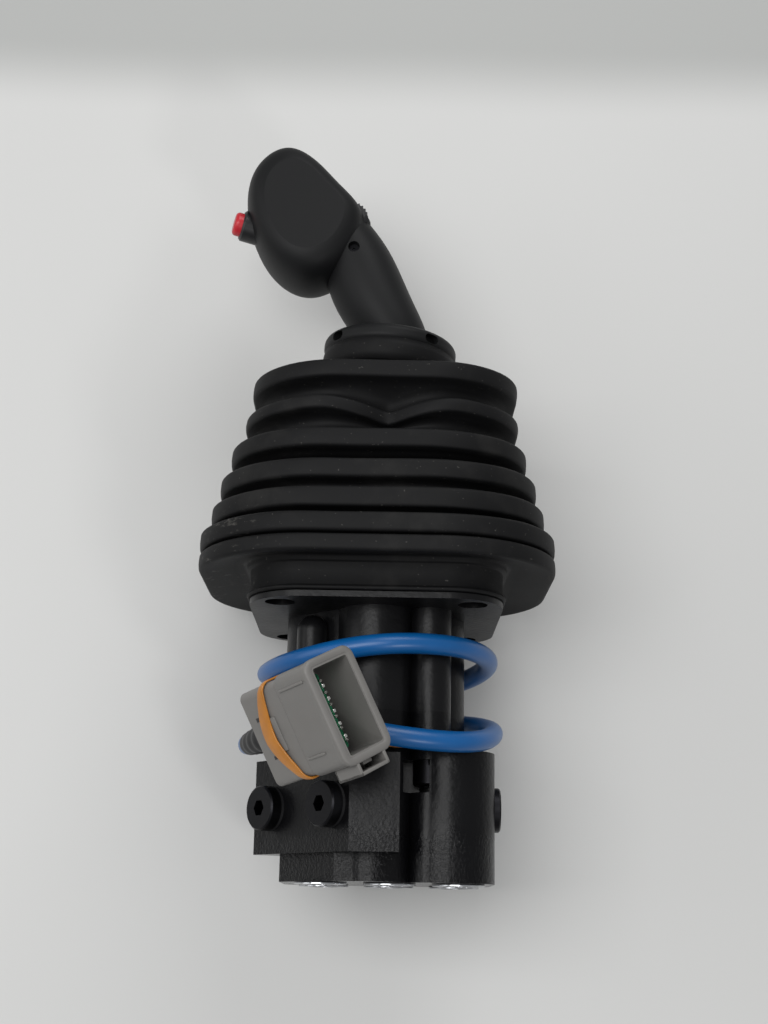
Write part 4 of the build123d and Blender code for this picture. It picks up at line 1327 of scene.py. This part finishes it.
# ---------------------------------------------------------------- studio
@dataclass(frozen=True)
class Lamp:
    """A soft rectangular lamp that faces the valve."""

    name: str
    place: Place
    size: tuple[float, float]
    power: float
    aim: Place = (0.0, 0.0, 0.02)

    def build(self) -> None:
        """Hangs the lamp, with its power in watts."""
        data = bpy.data.lights.new(self.name, "AREA")
        data.shape = "RECTANGLE"
        data.size, data.size_y = self.size
        data.energy = self.power
        lamp = bpy.data.objects.new(self.name, data)
        lamp.location = self.place
        lamp.rotation_mode = "QUATERNION"
        lamp.rotation_quaternion = (Vector(self.aim) - Vector(self.place)).to_track_quat("-Z", "Y")
        bpy.context.scene.collection.objects.link(lamp)


@dataclass
class Studio:
    """The pale backdrop that the valve lies on, its lamps and its world."""

    backdrop_y: float = 0.0785
    backdrop_size: float = 3.0
    pale: Colour = (0.61, 0.61, 0.60)
    # painted shade: the darker grey that the paper turns to above its crease
    painted_top_shade: Colour = (0.42, 0.425, 0.415)
    crease_height: float = 0.300
    world_strength: float = 0.34
    lamps: tuple[Lamp, ...] = (
        Lamp("front_softbox", (-0.35, -1.20, 0.05), (0.9, 0.5), 8.0),
        Lamp("upper_softbox", (0.30, -0.80, 1.00), (0.7, 0.7), 5.5),
        Lamp("side_softbox", (-1.05, -0.55, 0.25), (0.6, 0.9), 2.4),
        Lamp("low_lamp", (0.42, -0.80, -0.62), (0.14, 0.14), 1.6),
    )

    def backdrop_material(self) -> bpy.types.Material:
        """Pale paper with painted shade that makes it a little darker above its crease, see-through from
        behind.

        Returns:
            The material.
        """
        graph = Graph("pale_paper_painted_shade")
        place = graph.place()
        height = graph.part(place, "Z") + (graph.noise(place, 0.4, 2.0) - 0.5) * 0.02
        # painted shade: how far the paper turns to that darker grey, rising above the crease
        above = graph.rise(height, self.crease_height - 0.014, self.crease_height + 0.03)
        cloud = graph.noise(place, 0.25, 2.0)
        paper = graph.mix(cloud, shade(self.pale, 0.975), shade(self.pale, 1.025))
        colour = graph.mix(above, paper, self.painted_top_shade)
        grain = graph.bump(graph.noise(place, 0.0012), 0.00002)
        front = graph.add(
            "ShaderNodeBsdfPrincipled", {}, {"Base Color": colour, "Roughness": 0.7, "Normal": grain}
        )
        behind = graph.add("ShaderNodeNewGeometry", output="Backfacing")
        clear = graph.add("ShaderNodeBsdfTransparent")
        both = graph.add("ShaderNodeMixShader", {}, {0: behind, 1: front, 2: clear})
        graph.add("ShaderNodeOutputMaterial", {}, {"Surface": both})
        return graph.material

    def backdrop(self) -> bpy.types.Object:
        """The upright sheet of paper behind the valve.

        Returns:
            The sheet.
        """
        half = self.backdrop_size / 2
        plan = ((-half, -half), (half, -half), (half, half), (-half, half))
        corners = [Vector((x, self.backdrop_y, z)) for x, z in plan]
        piece = new_piece("backdrop", corners, [(0, 1, 2, 3)])
        piece.data.materials.append(self.backdrop_material())
        return piece

    def world(self) -> None:
        """An even pale world that looks white to the camera and in reflections behind the paper."""
        world = bpy.data.worlds.new("pale_room")
        world.use_nodes = True
        background = world.node_tree.nodes["Background"]
        background.inputs["Color"].default_value = (0.98, 0.99, 1.0, 1.0)
        background.inputs["Strength"].default_value = self.world_strength
        bpy.context.scene.world = world

    def build(self) -> None:
        """Sets up backdrop, lamps and world."""
        self.backdrop()
        self.world()
        for lamp in self.lamps:
            lamp.build()
        bpy.context.scene.view_settings.view_transform = "Standard"
        LOG.info("studio ready")


@dataclass
class Viewpoint:
    """The camera, low in front of the valve and tipped up."""

    place: tuple[float, float, float] = (0.0025, -0.650, -0.1264)
    pitch: float = 15.1
    roll: float = 1.0
    lens: float = 54.07
    sensor: float = 36.0

    def build(self) -> None:
        """Makes the camera and hands it to the scene."""
        data = bpy.data.cameras.new("viewpoint")
        data.lens = self.lens
        data.sensor_width = self.sensor
        data.sensor_fit = "AUTO"
        data.clip_start = 0.01
        camera = bpy.data.objects.new("viewpoint", data)
        tip = Matrix.Rotation(math.radians(90 + self.pitch), 4, "X")
        turn = Matrix.Rotation(math.radians(self.roll), 4, "Z")
        camera.matrix_world = Matrix.Translation(Vector(self.place)) @ tip @ turn
        bpy.context.scene.collection.objects.link(camera)
        bpy.context.scene.camera = camera
        LOG.info("camera ready")


def main() -> None:
    """Builds the camera, the cable and every other piece, in order."""
    logging.basicConfig(level=logging.INFO, format="%(name)s: %(message)s")
    noise.seed_set(SEED)
    Viewpoint().build()
    wardrobe = Wardrobe()
    wardrobe.dress_frame()
    cable = Cable(wardrobe)
    cable.build()
    connector = Connector(wardrobe)
    on_cable = connector.build()
    on_cable += RubberBand(wardrobe).build(connector)
    Bellows(wardrobe).build()
    Studio().build()


if __name__ == "__main__":
    main()
